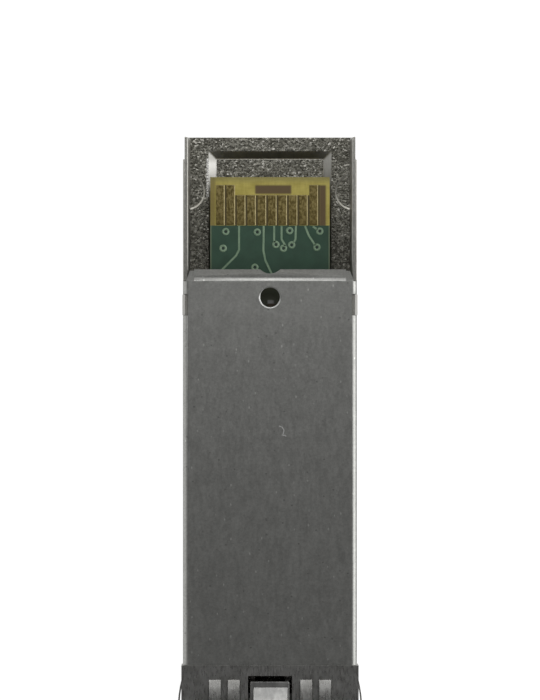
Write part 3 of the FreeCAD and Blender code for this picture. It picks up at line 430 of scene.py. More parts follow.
@dataclass(frozen=True)
class SheetMetal(Finish):
    """Rolled sheet: faint streaks along the sheet, fine tooth, scattered specks and pits."""

    speck_mm: float = 0.5
    speck_share: float = 0.45
    speck_rim: Spot = (0.07, 0.17)
    speck_tone: float = 1.3
    pit_tone: float = 0.8
    pit_shift: Point = (0.0131, 0.0077, 0.0)
    streak_mm: float = 0.3
    tooth_mm: float = 0.2
    cloud_mm: float = 1.6
    relief_mm: float = 0.004

    def lay_out(self, bench: ShaderBench) -> None:
        """Lay out the pattern of the finish.

        Args:
            bench: Bench of the finish.
        """
        streak = bench.noise(self.streak_mm, 3.0, 0.6, bench.stretched((1.0, 0.3, 1.0)))
        tooth = bench.noise(self.tooth_mm, 4.0, 0.75)
        cloud = bench.noise(self.cloud_mm, 4.0, 0.65)
        base = self.tones(bench, bench.weigh((streak, 0.15), (cloud, 0.25), (tooth, 0.6)), 0.3, 0.7)
        marks = self.scatter(bench, (1.0, 0.6, 1.0), (0.0, 0.0, 0.0))
        pits = self.scatter(bench, (0.8, 1.0, 1.0), self.pit_shift)
        base = bench.blend(pits, base, tuple(c * self.pit_tone for c in self.dark))
        bare = tuple(min(1.0, c * self.speck_tone) for c in self.light)
        bench.sheen(Base_Color=bench.blend(marks, base, bare))
        self.gloss(bench, streak, 0.03)
        bench.relief(bench.weigh((tooth, 0.22), (marks, 0.4)), self.relief_mm)

    def scatter(self, bench: ShaderBench, stretch: Point, shift: Point) -> Socket:
        """Scatter small marks over the sheet.

        Args:
            bench: Bench of the finish.
            stretch: Factors that draw the marks out.
            shift: Offset of the pattern in metres.

        Returns:
            1 on a mark, 0 elsewhere.
        """
        spot = bench.stretched(stretch, shift)
        round_marks = bench.step(bench.cells(self.speck_mm, at=spot), *self.speck_rim, 1.0, 0.0)
        lot = bench.axes(bench.cells(self.speck_mm, "Color", spot))[0]
        chosen = bench.step(lot, 1 - self.speck_share, 1.2 - self.speck_share)
        return bench.times(round_marks, chosen)


@dataclass(frozen=True)
class RolledEdge(Finish):
    """Rolled edge of a hole: painted highlight towards the nose and the left, painted shade in a darker
    sheet tone towards the rear and the right.
    """

    # Painted shade: the rim's colour on the side away from the light.
    plain: Colour = (0.36, 0.362, 0.346)
    middle_mm: Spot = (0.0, 0.0)
    aside: float = 0.25
    fade_mm: Spot = (-0.2, 0.2)
    tooth_mm: float = 0.2
    relief_mm: float = 0.001

    def lay_out(self, bench: ShaderBench) -> None:
        """Lay out the pattern of the finish.

        Args:
            bench: Bench of the finish.
        """
        across, along, _ = bench.axes()
        middle_x, middle_y = self.middle_mm
        left = bench.times(bench.calc("SUBTRACT", middle_x * MM, across), self.aside)
        ahead = bench.calc("ADD", bench.calc("SUBTRACT", middle_y * MM, along), left)
        tooth = bench.noise(self.tooth_mm, 4.0, 0.75)
        wear_and_highlight = self.tones(bench, tooth, 0.3, 0.7)
        # Painted light and shade: lit colour towards the nose and the left, shade colour towards the rear
        # and the right.
        bench.sheen(Base_Color=bench.blend(bench.ramp(ahead, self.fade_mm), self.plain, wear_and_highlight))
        self.gloss(bench, tooth, 0.03)
        bench.relief(tooth, self.relief_mm)


@dataclass(frozen=True)
class TurnedMetal(Finish):
    """Lathe-turned metal with fine rings along the axis of the barrel."""

    pitch_mm: float = 0.06
    cloud_mm: float = 1.6
    relief_mm: float = 0.004

    def lay_out(self, bench: ShaderBench) -> None:
        """Lay out the pattern of the finish.

        Args:
            bench: Bench of the finish.
        """
        rings = bench.noise(self.pitch_mm, 2.0, 0.5, bench.stretched((0.02, 1.0, 0.02)))
        bench.sheen(Base_Color=self.tones(bench, bench.noise(self.cloud_mm), 0.3, 0.7))
        self.gloss(bench, rings, 0.12)
        bench.relief(rings, self.relief_mm)


@dataclass(frozen=True)
class DrawnWire(Finish):
    """Wire and spring stock with fine lengthwise drawing lines and rubbed spots."""

    line_mm: float = 0.1
    spot_mm: float = 1.1
    relief_mm: float = 0.0012

    def lay_out(self, bench: ShaderBench) -> None:
        """Lay out the pattern of the finish.

        Args:
            bench: Bench of the finish.
        """
        lines = bench.noise(self.line_mm, 3.0, 0.6, bench.stretched((1.0, 0.2, 0.2)))
        bench.sheen(Base_Color=self.tones(bench, bench.noise(self.spot_mm, 3.0, 0.6), 0.35, 0.65))
        self.gloss(bench, lines, 0.1)
        bench.relief(lines, self.relief_mm)


@dataclass(frozen=True)
class ContactGold(Finish):
    """Gold contacts dulled by handling, with rub lines along the plugging direction and a darker foot."""

    foot_mm: Spot = (38.2, 39.4)
    foot_share: float = 0.5
    rub_mm: float = 0.12
    blot_mm: float = 0.24
    relief_mm: float = 0.008

    def lay_out(self, bench: ShaderBench) -> None:
        """Lay out the pattern of the finish.

        Args:
            bench: Bench of the finish.
        """
        rubs = bench.noise(self.rub_mm, 3.0, 0.65, bench.stretched((1.0, 0.35, 1.0)))
        blots = bench.noise(self.blot_mm, 3.0, 0.7)
        tone = bench.weigh((rubs, 0.5), (blots, 0.5))
        wear_and_highlight = self.tones(bench, tone, 0.40, 0.62)
        _, along, _ = bench.axes()
        foot = bench.ramp(along, self.foot_mm, self.foot_share, 0.0)
        bench.sheen(Base_Color=bench.blend(foot, wear_and_highlight, self.dark))
        self.gloss(bench, blots, 0.2)
        bench.relief(tone, self.relief_mm)


@dataclass(frozen=True)
class BoardLaminate(Finish):
    """Glass-fibre board: bare at the card edge, green lacquer beyond, inner copper showing through, with
    painted highlights and painted shade in places.
    """

    thread_mm: float = 0.16
    cloud_mm: float = 1.3
    relief_mm: float = 0.004
    lacquer: Colour = (0.03, 0.06, 0.04)
    lacquer_cloud_mm: float = 0.8
    lacquer_range: float = 1.18
    lacquer_mm: Spot = (38.14, 38.20)
    # Painted highlight: a lighter line along both side edges of the board.
    rim: Colour = (0.2, 0.24, 0.18)
    rim_mm: Spot = (4.48, 4.56)
    end: Colour = tint(150, 142, 88)
    end_mm: Spot = (41.25, 41.85)
    end_share: float = 0.7
    copper: Colour = (0.1, 0.08, 0.05)
    copper_fields_mm: tuple[Limits, ...] = ((-1.15, 1.65, 40.6, 41.28), (3.81, 4.31, 38.12, 41.28))
    copper_soft_mm: float = 0.1
    # Painted shade: the bare laminate darkens towards the board's left edge.
    left_shade_mm: Spot = (-4.35, -4.1)
    left_shade_share: float = 0.6
    # Painted light: a paler patch on the lacquer seen through the cover's hole.
    hole_light_patch: Colour = tint(124, 126, 108)
    hole_light_patch_mm: Limits = (-1.2, 1.2, 31.4, 33.9)
    # Painted shade in the grooves between the contacts.
    groove_shade: Colour = tint(92, 80, 45)
    groove_pitch_mm: float = 0.8
    groove_middle_mm: float = -0.222
    groove_half_mm: float = 0.075
    groove_soft_mm: float = 0.02
    groove_fields_mm: tuple[Limits, ...] = (
        (-3.6, 3.85, 38.1, 40.5),
        (-3.6, -3.3, 40.4, 41.28),
        (3.6, 3.85, 40.4, 41.28),
    )

    def grooves(self, bench: ShaderBench, across: Socket) -> Socket:
        """Mark the painted shade in the grooves between the contacts.

        Args:
            bench: Bench of the finish.
            across: Place across the board.

        Returns:
            1 in a groove, 0 elsewhere.
        """
        start = self.groove_middle_mm - self.groove_pitch_mm / 2
        turns = bench.calc("DIVIDE", bench.calc("SUBTRACT", across, start * MM), self.groove_pitch_mm * MM)
        off = bench.calc("ABSOLUTE", bench.calc("SUBTRACT", bench.calc("FRACT", turns), 0.5))
        half = self.groove_half_mm / self.groove_pitch_mm
        share = bench.step(off, half * 0.8, half * 1.2, 1.0, 0.0)
        reach, *others = [bench.oblong(limits, self.groove_soft_mm) for limits in self.groove_fields_mm]
        for other in others:
            reach = bench.calc("MAXIMUM", reach, other)
        return bench.times(share, reach)

    def lay_out(self, bench: ShaderBench) -> None:
        """Lay out the pattern of the finish.

        Args:
            bench: Bench of the finish.
        """
        across, along, _ = bench.axes()
        warp = bench.noise(self.thread_mm, 1.0, 0.5, bench.stretched((1.0, 0.2, 1.0)))
        weft = bench.noise(self.thread_mm, 1.0, 0.5, bench.stretched((0.2, 1.0, 1.0)))
        weave = bench.weigh((warp, 0.5), (weft, 0.5))
        cloud = bench.noise(self.cloud_mm)
        bare = self.tones(bench, bench.weigh((weave, 0.5), (cloud, 0.5)), 0.35, 0.65)
        for limits in self.copper_fields_mm:
            bare = bench.blend(bench.oblong(limits, self.copper_soft_mm), bare, self.copper)
        # Painted shade in the grooves between the contacts.
        bare = bench.blend(self.grooves(bench, across), bare, self.groove_shade)
        # Painted shade: the bare laminate darkens towards the board's left edge.
        bare = bench.blend(bench.ramp(across, self.left_shade_mm, self.left_shade_share, 0.0), bare, self.copper)
        bare = bench.blend(bench.ramp(along, self.end_mm, 0.0, self.end_share), bare, self.end)
        thin = tuple(c * self.lacquer_range for c in self.lacquer)
        coat = bench.blend(bench.step(bench.noise(self.lacquer_cloud_mm), 0.3, 0.7), self.lacquer, thin)
        # Painted highlight: a lighter line along both side edges of the board.
        coat = bench.blend(bench.ramp(bench.calc("ABSOLUTE", across), self.rim_mm), coat, self.rim)
        # Painted light: a paler patch on the lacquer seen through the cover's hole.
        coat = bench.blend(bench.oblong(self.hole_light_patch_mm, self.copper_soft_mm), coat, self.hole_light_patch)
        coated = bench.ramp(along, self.lacquer_mm, 1.0, 0.0)
        bench.sheen(Base_Color=bench.blend(coated, bare, coat))
        self.gloss(bench, cloud, 0.1)
        bench.relief(weave, self.relief_mm)


@dataclass(frozen=True)
class Moulding(Finish):
    """Moulded or fired material with a fine matt tooth, such as chip resin, ferrite and ceramic."""

    tooth_mm: float = 0.06
    tooth_depth_mm: float = 0.004
    cloud_mm: float = 0.9

    def lay_out(self, bench: ShaderBench) -> None:
        """Lay out the pattern of the finish.

        Args:
            bench: Bench of the finish.
        """
        tooth = bench.noise(self.tooth_mm, 3.0, 0.6)
        tone = bench.weigh((tooth, 0.5), (bench.noise(self.cloud_mm), 0.5))
        bench.sheen(Base_Color=self.tones(bench, tone, 0.35, 0.65))
        self.gloss(bench, tooth, 0.15)
        bench.relief(tooth, self.tooth_depth_mm)


@dataclass(frozen=True)
class FlexFilm(Finish):
    """Amber polyimide film with its copper lines showing along it."""

    line_pitch_mm: float = 0.6
    line_tone: float = 0.6
    cloud_mm: float = 0.7
    relief_mm: float = 0.006

    def lay_out(self, bench: ShaderBench) -> None:
        """Lay out the pattern of the finish.

        Args:
            bench: Bench of the finish.
        """
        across, _, _ = bench.axes()
        phase = bench.times(across, 2 * math.pi / (self.line_pitch_mm * MM))
        lines = bench.step(bench.calc("SINE", phase), 0.2, 0.5)
        cloud = bench.noise(self.cloud_mm)
        film = self.tones(bench, cloud, 0.3, 0.7)
        bench.sheen(Base_Color=bench.blend(lines, film, tuple(c * self.line_tone for c in self.dark)))
        self.gloss(bench, cloud, 0.1)
        bench.relief(lines, self.relief_mm)


class GeometryBench(NodeBench):
    """Bench on which one repeating or path-following shape is laid out as geometry nodes."""

    def __init__(self, name: str) -> None:
        """Start a tree with one geometry input and output.

        Args:
            name: Name of the tree.
        """
        super().__init__(bpy.data.node_groups.new(name, "GeometryNodeTree"))
        self.tree.is_modifier = True
        for way in ("INPUT", "OUTPUT"):
            self.tree.interface.new_socket("Geometry", in_out=way, socket_type="NodeSocketGeometry")
        self.source = self.node("NodeGroupInput")
        self.sink = self.node("NodeGroupOutput")
        self.sizes: dict[str, float] = {}

    def size(self, name: str, value_mm: float) -> Socket:
        """Add a named size.

        Args:
            name: Name of the input.
            value_mm: Its value in millimetres.

        Returns:
            The socket that gives the size in metres inside the tree.
        """
        self.tree.interface.new_socket(name, in_out="INPUT", socket_type="NodeSocketFloat")
        self.sizes[name] = value_mm * MM
        return self.source.outputs[name]

    def strew(self, shape: Socket, **feeds: object) -> Socket:
        """Put a copy of a shape on every point of the seed, with further inputs such as its turn."""
        points = self.grow("GeometryNodeMeshToPoints", {"Mesh": self.source.outputs["Geometry"]})
        return self.grow("GeometryNodeInstanceOnPoints", {"Points": points, "Instance": shape, **feeds})

    def settle(
        self, shape: Socket, seed: bpy.types.Mesh, name: str, skin: bpy.types.Material | None = None
    ) -> bpy.types.Object:
        """End the tree, run it on a seed mesh and keep the result as a plain mesh.

        Args:
            shape: Geometry that the tree gives.
            seed: Mesh of points or paths that the shape grows on.
            name: Name of the finished piece.
            skin: Its material, left out where the shape has its own.

        Returns:
            The finished piece, linked to the scene.
        """
        shape = self.grow("GeometryNodeRealizeInstances", {"Geometry": shape})
        if skin:
            shape = self.grow("GeometryNodeSetMaterial", {"Geometry": shape, "Material": skin})
        self.feed(self.sink.inputs[0], shape)
        carrier = bpy.data.objects.new(name + "_seed", seed)
        bpy.context.scene.collection.objects.link(carrier)
        maker = carrier.modifiers.new("maker", "NODES")
        maker.node_group = self.tree
        for item in self.tree.interface.items_tree:
            if item.item_type == "SOCKET" and item.in_out == "INPUT" and item.name in self.sizes:
                maker[item.identifier] = self.sizes[item.name]
        depsgraph = bpy.context.evaluated_depsgraph_get()
        mesh = bpy.data.meshes.new_from_object(carrier.evaluated_get(depsgraph), depsgraph=depsgraph)
        carrier.modifiers.remove(maker)
        bpy.data.objects.remove(carrier)
        return show(name, mesh)


def show(name: str, data: bpy.types.ID) -> bpy.types.Object:
    """Link a mesh, a light or a camera to the scene.

    Args:
        name: Name of the object.
        data: What it shows.

    Returns:
        The new object.
    """
    data.name = name
    made = bpy.data.objects.new(name, data)
    bpy.context.scene.collection.objects.link(made)
    return made


def seed_of(name: str, points: list[Point], runs: list[tuple[int, int]] | None = None) -> bpy.types.Mesh:
    """Make a mesh of bare points and runs for a tree to grow on.

    Args:
        name: Name of the mesh.
        points: Points in millimetres.
        runs: Pairs of point numbers that are joined, if any.

    Returns:
        The mesh.
    """
    mesh = bpy.data.meshes.new(name)
    mesh.from_pydata([tuple(c * MM for c in point) for point in points], runs or [], [])
    return mesh


def ribbons(
    name: str,
    paths: Sequence[Line],
    level_mm: float,
    width_mm: float,
    height_mm: float,
    skin: bpy.types.Material,
    section: Section = Section.FLAT,
) -> bpy.types.Object:
    """Lay ribbons along paths on a level face, half sunk into it.

    Args:
        name: Name of the piece.
        paths: Corner points of each path, across and along, in millimetres.
        level_mm: Height of the face.
        width_mm: Width of a ribbon.
        height_mm: Thickness of a ribbon.
        skin: Material of the ribbons.
        section: Flat or rounded ribbon.

    Returns:
        The finished piece.
    """
    points: list[Point] = []
    runs: list[tuple[int, int]] = []
    for path in paths:
        start = len(points)
        points.extend((x, y, level_mm) for x, y in path)
        runs.extend((index, index + 1) for index in range(start, len(points) - 1))
    bench = GeometryBench(name + "_paths")
    width = bench.size("Ribbon width", width_mm)
    height = bench.size("Ribbon height", height_mm)
    bend = bench.size("Corner radius", width_mm)
    curve = bench.grow("GeometryNodeMeshToCurve", {"Mesh": bench.source.outputs["Geometry"]})
    upright = bench.grow("GeometryNodeSetCurveNormal", {"Curve": curve}, mode="Z_UP")
    corners = {"Curve": upright, "Count": BEND_STEPS, "Radius": bend}
    eased = bench.grow("GeometryNodeFilletCurve", corners, mode="POLY")
    if section is Section.FLAT:
        profile = bench.grow("GeometryNodeCurvePrimitiveQuadrilateral", {"Width": width, "Height": height})
    else:
        circle = bench.grow("GeometryNodeCurvePrimitiveCircle", {"Resolution": ROUND_STEPS, "Radius": 0.5})
        scale = bench.grow("ShaderNodeCombineXYZ", {"X": width, "Y": height, "Z": 1.0})
        profile = bench.grow("GeometryNodeTransform", {"Geometry": circle, "Scale": scale})
    sweep = {"Curve": eased, "Profile Curve": profile, "Fill Caps": True}
    swept = bench.grow("GeometryNodeCurveToMesh", sweep)
    shade = {"Geometry": swept, "Shade Smooth": section is Section.ROUND}
    shaded = bench.grow("GeometryNodeSetShadeSmooth", shade)
    return bench.settle(shaded, seed_of(name, points, runs), name, skin)


@dataclass
class SubAssembly:
    """Base of the sub-assemblies: dresses CAD nodes and adds pieces to them."""

    def paint(self, node: str, skin: bpy.types.Material) -> None:
        """Give a CAD node its finish.

        Args:
            node: Name of the node.
            skin: Material that it gets.
        """
        for place in bpy.data.objects[node].material_slots:
            place.material = skin
        LOG.info("dressed %s with %s", node, skin.name)

    def ease(self, node: str, width_mm: float, angle_deg: float = 40.0) -> None:
        """Round the sharp edges of a CAD node with live modifiers.

        Args:
            node: Name of the node.
            width_mm: Width of the rounding.
            angle_deg: Edges that turn by more than this are rounded.
        """
        piece = bpy.data.objects[node]
        weld = piece.modifiers.new("join_faces", "WELD")
        weld.merge_threshold = WELD_MM * MM
        bevel = piece.modifiers.new("ease_edges", "BEVEL")
        bevel.width = width_mm * MM
        bevel.segments = BEVEL_STEPS
        bevel.limit_method = "ANGLE"
        bevel.angle_limit = math.radians(angle_deg)
        bevel.use_clamp_overlap = True

    def add(self, piece: bpy.types.Object, slot: str, body: Body = Body.MODULE) -> None:
        """Let a new piece ride on its body.

        Args:
            piece: The piece.
            slot: Not used.
            body: Body that carries it.
        """
        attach(piece, body.value)
        LOG.info("added %s on %s", piece.name, body.value)


@dataclass
class DieCasting(SubAssembly):
    """The plated housing with its connector bay and nose."""

    edge_mm: float = 0.08
    finish: CastMetal = CastMetal("plated_casting_skin", (0.122, 0.118, 0.097), (0.455, 0.444, 0.385), 0.28)

    def dress(self) -> None:
        """Give the housing its grainy plated skin and eased edges."""
        self.paint("housing", self.finish.make())
        self.ease("housing", self.edge_mm)


@dataclass
class FoldedCover(SubAssembly):
    """The folded sheet-metal cover with its handling marks."""

    top_mm: float = 8.5
    edge_mm: float = 0.04
    crease_deg: float = 30.0
    finish: SheetMetal = SheetMetal("cover_sheet_skin", (0.46, 0.462, 0.44), (0.64, 0.643, 0.615), 0.34)
    hole_mm: float = 0.74
    hole_at_mm: Spot = (0.0, 32.63)
    ring_steps: int = 64
    roll_mm: float = 0.11
    roll_lift_mm: float = 0.002
    roll_steps: int = 24
    # Colours of the painted highlight on the hole's rim; the painted shade is the finish's plain colour.
    rim_light_and_shade: RolledEdge = RolledEdge(
        "rolled_edge_skin", (0.86, 0.86, 0.84), (0.95, 0.95, 0.93), 0.42, middle_mm=hole_at_mm
    )
    scratch_mm: float = 0.07
    scratch_rise_mm: float = 0.006
    bare: SheetMetal = SheetMetal("cover_scratch_skin", (0.90, 0.90, 0.88), (0.97, 0.97, 0.95), 0.4)
    scratches: tuple[Line, ...] = (
        ((0.70, 22.71), (0.915, 22.65), (1.08, 22.41), (1.03, 22.16), (0.97, 22.04)),
        ((0.97, 21.97), (1.10, 22.03), (1.25, 21.93)),
    )

    def build(self) -> None:
        """Lay the small hooked scratch on the face and roll the hole's rim."""
        skin = self.bare.make()
        made = ribbons(
            "cover_scratch", self.scratches, self.top_mm, self.scratch_mm, self.scratch_rise_mm, skin
        )
        self.add(made, "cover_steel")
        self.add(self.rolled_rim(), "cover_steel")

    def rolled_rim(self) -> bpy.types.Object:
        """Roll the edge of the round hole, with painted light and shade on it.

        Returns:
            The rim, sunk into the sheet so that only its inner side shows.
        """
        bench = GeometryBench("rolled_rim")
        roll = bench.size("Roll radius", self.roll_mm)
        ring = bench.size("Ring radius", self.hole_mm + self.roll_mm)
        path, tube = [
            bench.grow("GeometryNodeCurvePrimitiveCircle", {"Resolution": steps, "Radius": radius})
            for steps, radius in ((self.ring_steps, ring), (self.roll_steps, roll))
        ]
        swept = bench.grow("GeometryNodeCurveToMesh", {"Curve": path, "Profile Curve": tube})
        smooth = bench.grow("GeometryNodeSetShadeSmooth", {"Geometry": swept})
        seed = seed_of("hole_spot", [(*self.hole_at_mm, self.top_mm - self.roll_mm + self.roll_lift_mm)])
        return bench.settle(bench.strew(smooth), seed, "hole_rim", self.rim_light_and_shade.make())

    def dress(self) -> None:
        """Give the cover its satin rolled skin."""
        self.paint("bottom_cover", self.finish.make())
        self.ease("bottom_cover", self.edge_mm, self.crease_deg)


@dataclass
class CircuitBoard(SubAssembly):
    """Board with its contacts, copper artwork, chips and passives."""

    top_mm: float = 6.25
    trace_mm: float = 0.15
    trace_rise_mm: float = 0.03
    via_mm: float = 0.205
    via_wall_mm: float = 0.17
    via_hole_mm: float = 0.12
    via_lift_mm: float = 0.004
    via_steps: int = 24
    via_hole_steps: int = 16
    traces: tuple[Line, ...] = (
        ((-2.385, 38.14), (-2.385, 36.30), (-2.61, 35.85), (-4.2, 34.26)),
        ((-0.485, 38.14), (-0.505, 36.22), (-0.36, 35.49), (0.3, 34.1)),
        ((0.323, 38.14), (0.323, 36.95), (0.36, 36.88)),
        ((0.892, 38.14), (0.892, 37.11), (1.154, 36.67), (1.15, 36.60)),
        ((2.0, 38.14), (1.962, 37.11), (1.83, 36.86)),
        ((2.70, 38.14), (2.99, 37.40), (3.47, 36.66)),
        ((3.30, 38.10), (3.65, 37.86)),
    )
    vias: Line = (
        (-3.415, 37.70), (-0.985, 37.66), (1.515, 37.77), (3.838, 37.73), (-3.615, 36.41),
        (0.454, 36.70), (1.038, 36.41), (1.669, 36.67), (3.615, 36.49), (-1.169, 34.94),
    )
    cap_mm: float = 0.24
    cap_skin_mm: float = 0.01
    capacitor_mm: Point = (1.0, 0.5, 0.5)
    resistor_mm: Point = (1.0, 0.5, 0.35)
    small_edge_mm: float = 0.03
    chip_edge_mm: float = 0.06
    capacitors: tuple[Chip, ...] = (
        (-4.6, 14.4, Lay.ACROSS), (-4.6, 15.6, Lay.ACROSS), (-0.6, 14.4, Lay.ALONG),
        (0.6, 14.4, Lay.ALONG), (4.6, 14.4, Lay.ACROSS), (4.6, 15.6, Lay.ACROSS),
        (-4.2, 22.4, Lay.ALONG), (-4.2, 24.4, Lay.ALONG), (4.2, 22.4, Lay.ALONG),
        (4.2, 24.4, Lay.ALONG), (0.07, 31.9, Lay.ALONG), (2.4, 31.9, Lay.ALONG),
    )
    resistors: tuple[Chip, ...] = (
        (-1.8, 19.0, Lay.ACROSS), (0.0, 19.0, Lay.ACROSS), (1.8, 19.0, Lay.ACROSS),
        (-2.4, 31.9, Lay.ALONG), (-3.4, 31.9, Lay.ALONG), (3.4, 31.9, Lay.ALONG),
    )
    laminate: BoardLaminate = BoardLaminate(
        "board_skin",
        tint(178, 164, 79),
        tint(202, 188, 99),
        0.42,
        0.0,
        lacquer=tint(50, 79, 62),
        rim=tint(120, 136, 108),
        copper=tint(105, 86, 55),
    )
    pads: int = 10
    pad_pitch_mm: float = 0.8
    pad_shift_mm: float = -0.25
    pad_half_mm: float = 0.31
    pad_foot_mm: float = 38.2
    pad_head_mm: float = 40.5
    long_head_mm: float = 41.28
    long_pads: tuple[int, ...] = (0, 1, 9)
    rim_mm: float = 0.085
    head_rim_mm: float = 0.04
    rim_level_mm: float = 0.02
    rim_rise_mm: float = 0.06
    gold: ContactGold = ContactGold("contact_gold_skin", (0.155, 0.118, 0.041), (0.39, 0.314, 0.129), 0.42)
    # Painted highlight: the rims on the lit sides of the contacts get a brighter gold than the contacts.
    highlight_gold: ContactGold = ContactGold("contact_highlight_skin", (0.54, 0.46, 0.23), (0.74, 0.64, 0.35), 0.44)
    under_lacquer: Moulding = Moulding(
        "lacquered_copper_skin", tint(124, 152, 124), tint(148, 174, 144), 0.4, 0.0
    )
    hole: Moulding = Moulding("via_hole_skin", tint(30, 50, 40), tint(44, 66, 54), 0.6, 0.0)
    resin: Moulding = Moulding("chip_resin_skin", (0.012, 0.012, 0.013), (0.03, 0.03, 0.031), 0.55, 0.0)
    ceramic: Moulding = Moulding("capacitor_skin", (0.10, 0.07, 0.045), (0.16, 0.11, 0.07), 0.5, 0.0)
    film: Moulding = Moulding("resistor_skin", (0.015, 0.016, 0.02), (0.04, 0.042, 0.05), 0.4, 0.0)
    ferrite: Moulding = Moulding("ferrite_skin", (0.05, 0.05, 0.052), (0.09, 0.088, 0.085), 0.6, 0.0)
    tin: DrawnWire = DrawnWire("terminal_tin_skin", (0.26, 0.26, 0.25), (0.38, 0.38, 0.37), 0.45)

    def build(self) -> None:
        """Lay the copper lines, the plated holes, the contacts' rims with painted highlights and the tinned
        ends.
        """
        skin = self.under_lacquer.make()
        lines = ribbons("board_traces", self.traces, self.top_mm, self.trace_mm, self.trace_rise_mm, skin)
        self.add(lines, "board")
        self.add(self.plated_holes(skin), "board")
        # Rims with painted highlights on the lit sides of the contacts.
        for rim in self.pad_highlight_rims():
            self.add(rim, "gold")
        tin = self.tin.make()
        for name, spots, body_mm, slot in (
            ("capacitor_ends", self.capacitors, self.capacitor_mm, "capacitor_ceramic"),
            ("resistor_ends", self.resistors, self.resistor_mm, "resistor_film"),
        ):
            self.add(self.terminals(name, spots, body_mm, tin), slot)

    def pad_highlight_rims(self) -> list[bpy.types.Object]:
        """Raise a round rim of brighter gold, a painted highlight, along one side of each contact and,
        thinner, along its head.

        Returns:
            The piece with the rims of the sides and the one with those of the heads.
        """
        sides: list[Line] = []
        heads: list[Line] = []
        for index in range(self.pads):
            middle = self.pad_pitch_mm * (index - (self.pads - 1) / 2) + self.pad_shift_mm
            head = self.long_head_mm if index in self.long_pads else self.pad_head_mm
            side = middle + self.pad_half_mm
            sides.append([(side, self.pad_foot_mm), (side, head)])
            heads.append([(side, head), (middle - self.pad_half_mm, head)])
        level = self.top_mm + self.rim_level_mm
        skin = self.highlight_gold.make()
        return [
            ribbons(name, paths, level, width, self.rim_rise_mm, skin, Section.ROUND)
            for name, paths, width in (
                ("contact_rims", sides, self.rim_mm),
                ("contact_heads", heads, self.head_rim_mm),
            )
        ]

    def terminals(
        self, name: str, spots: Sequence[Chip], body_mm: Point, skin: bpy.types.Material
    ) -> bpy.types.Object:
        """Cap both ends of every chip of one kind with tin.

        Args:
            name: Name of the piece.
            spots: Middle of each chip, across and along, and how it lies.
            body_mm: Length, width and height of the chip.
            skin: Material of the caps.

        Returns:
            The piece with all the caps.
        """
        length, width, height = body_mm
        cap = self.cap_mm
        skin_mm = self.cap_skin_mm
        points: list[Point] = []
        turns: list[float] = []
        for across, along, lay in spots:
            for side in (-1, 1):
                reach = side * (length - cap) / 2
                shift = (reach, 0.0) if lay is Lay.ACROSS else (0.0, reach)
                points.append((across + shift[0], along + shift[1], self.top_mm + height / 2))
                turns.append(0.0 if lay is Lay.ACROSS else math.pi / 2)
        seed = seed_of(name, points)
        seed.attributes.new("turn", "FLOAT", "POINT").data.foreach_set("value", turns)
        bench = GeometryBench(name + "_caps")
        long = bench.size("Cap length", cap + 2 * skin_mm)
        wide = bench.size("Cap width", width + 2 * skin_mm)
        high = bench.size("Cap height", height + skin_mm)
        sizes = bench.grow("ShaderNodeCombineXYZ", {"X": long, "Y": wide, "Z": high})
        block = bench.grow("GeometryNodeMeshCube", {"Size": sizes})
        turn = bench.grow("GeometryNodeInputNamedAttribute", {"Name": "turn"}, data_type="FLOAT")
        spin = bench.grow("ShaderNodeCombineXYZ", {"Z": turn})
        return bench.settle(bench.strew(block, Rotation=spin), seed, name, skin)

    def plated_holes(self, skin: bpy.types.Material) -> bpy.types.Object:
        """Set a ring with a dark hole on every via.

        Args:
            skin: Material of the rings.

        Returns:
            The piece with all the rings.
        """
        bench = GeometryBench("via_rings")
        radius = bench.size("Ring radius", self.via_mm)
        wall = bench.size("Ring wall", self.via_wall_mm)
        rise = bench.size("Ring height", self.trace_rise_mm)
        bore = bench.size("Hole radius", self.via_hole_mm)
        path = bench.grow(
            "GeometryNodeCurvePrimitiveCircle", {"Resolution": self.via_steps, "Radius": radius}
        )
        section = bench.grow("GeometryNodeCurvePrimitiveQuadrilateral", {"Width": wall, "Height": rise})
        ring = bench.grow("GeometryNodeCurveToMesh", {"Curve": path, "Profile Curve": section})
        round_face = {"Vertices": self.via_hole_steps, "Radius": bore}
        disc = bench.grow("GeometryNodeMeshCircle", round_face, fill_type="NGON")
        lift = (0.0, 0.0, self.via_lift_mm * MM)
        lifted = bench.grow("GeometryNodeTransform", {"Geometry": disc, "Translation": lift})
        parts = [
            bench.grow("GeometryNodeSetMaterial", {"Geometry": shape, "Material": material})
            for shape, material in ((ring, skin), (lifted, self.hole.make()))
        ]
        joined = bench.grow("GeometryNodeJoinGeometry", {"Geometry": parts})
        seed = seed_of("via_spots", [(x, y, self.top_mm) for x, y in self.vias])
        return bench.settle(bench.strew(joined), seed, "board_vias")

    def dress(self) -> None:
        """Give the board, its contacts and its components their finishes."""
        self.paint("circuit_board", self.laminate.make())
        chips = ("laser_driver_chip", "receive_amplifier_chip", "controller_chip", "memory_chip")
        for finish, edge_mm, nodes in (
            (self.gold, self.small_edge_mm, ("contact_pads_lower", "contact_pads_upper")),
            (self.resin, self.chip_edge_mm, chips),
            (self.ceramic, self.small_edge_mm, ("chip_capacitors",)),
            (self.film, self.small_edge_mm, ("chip_resistors",)),
            (self.ferrite, self.small_edge_mm, ("filter_inductors",)),
        ):
            skin = finish.make()
            for node in nodes:
                self.paint(node, skin)
                self.ease(node, edge_mm)


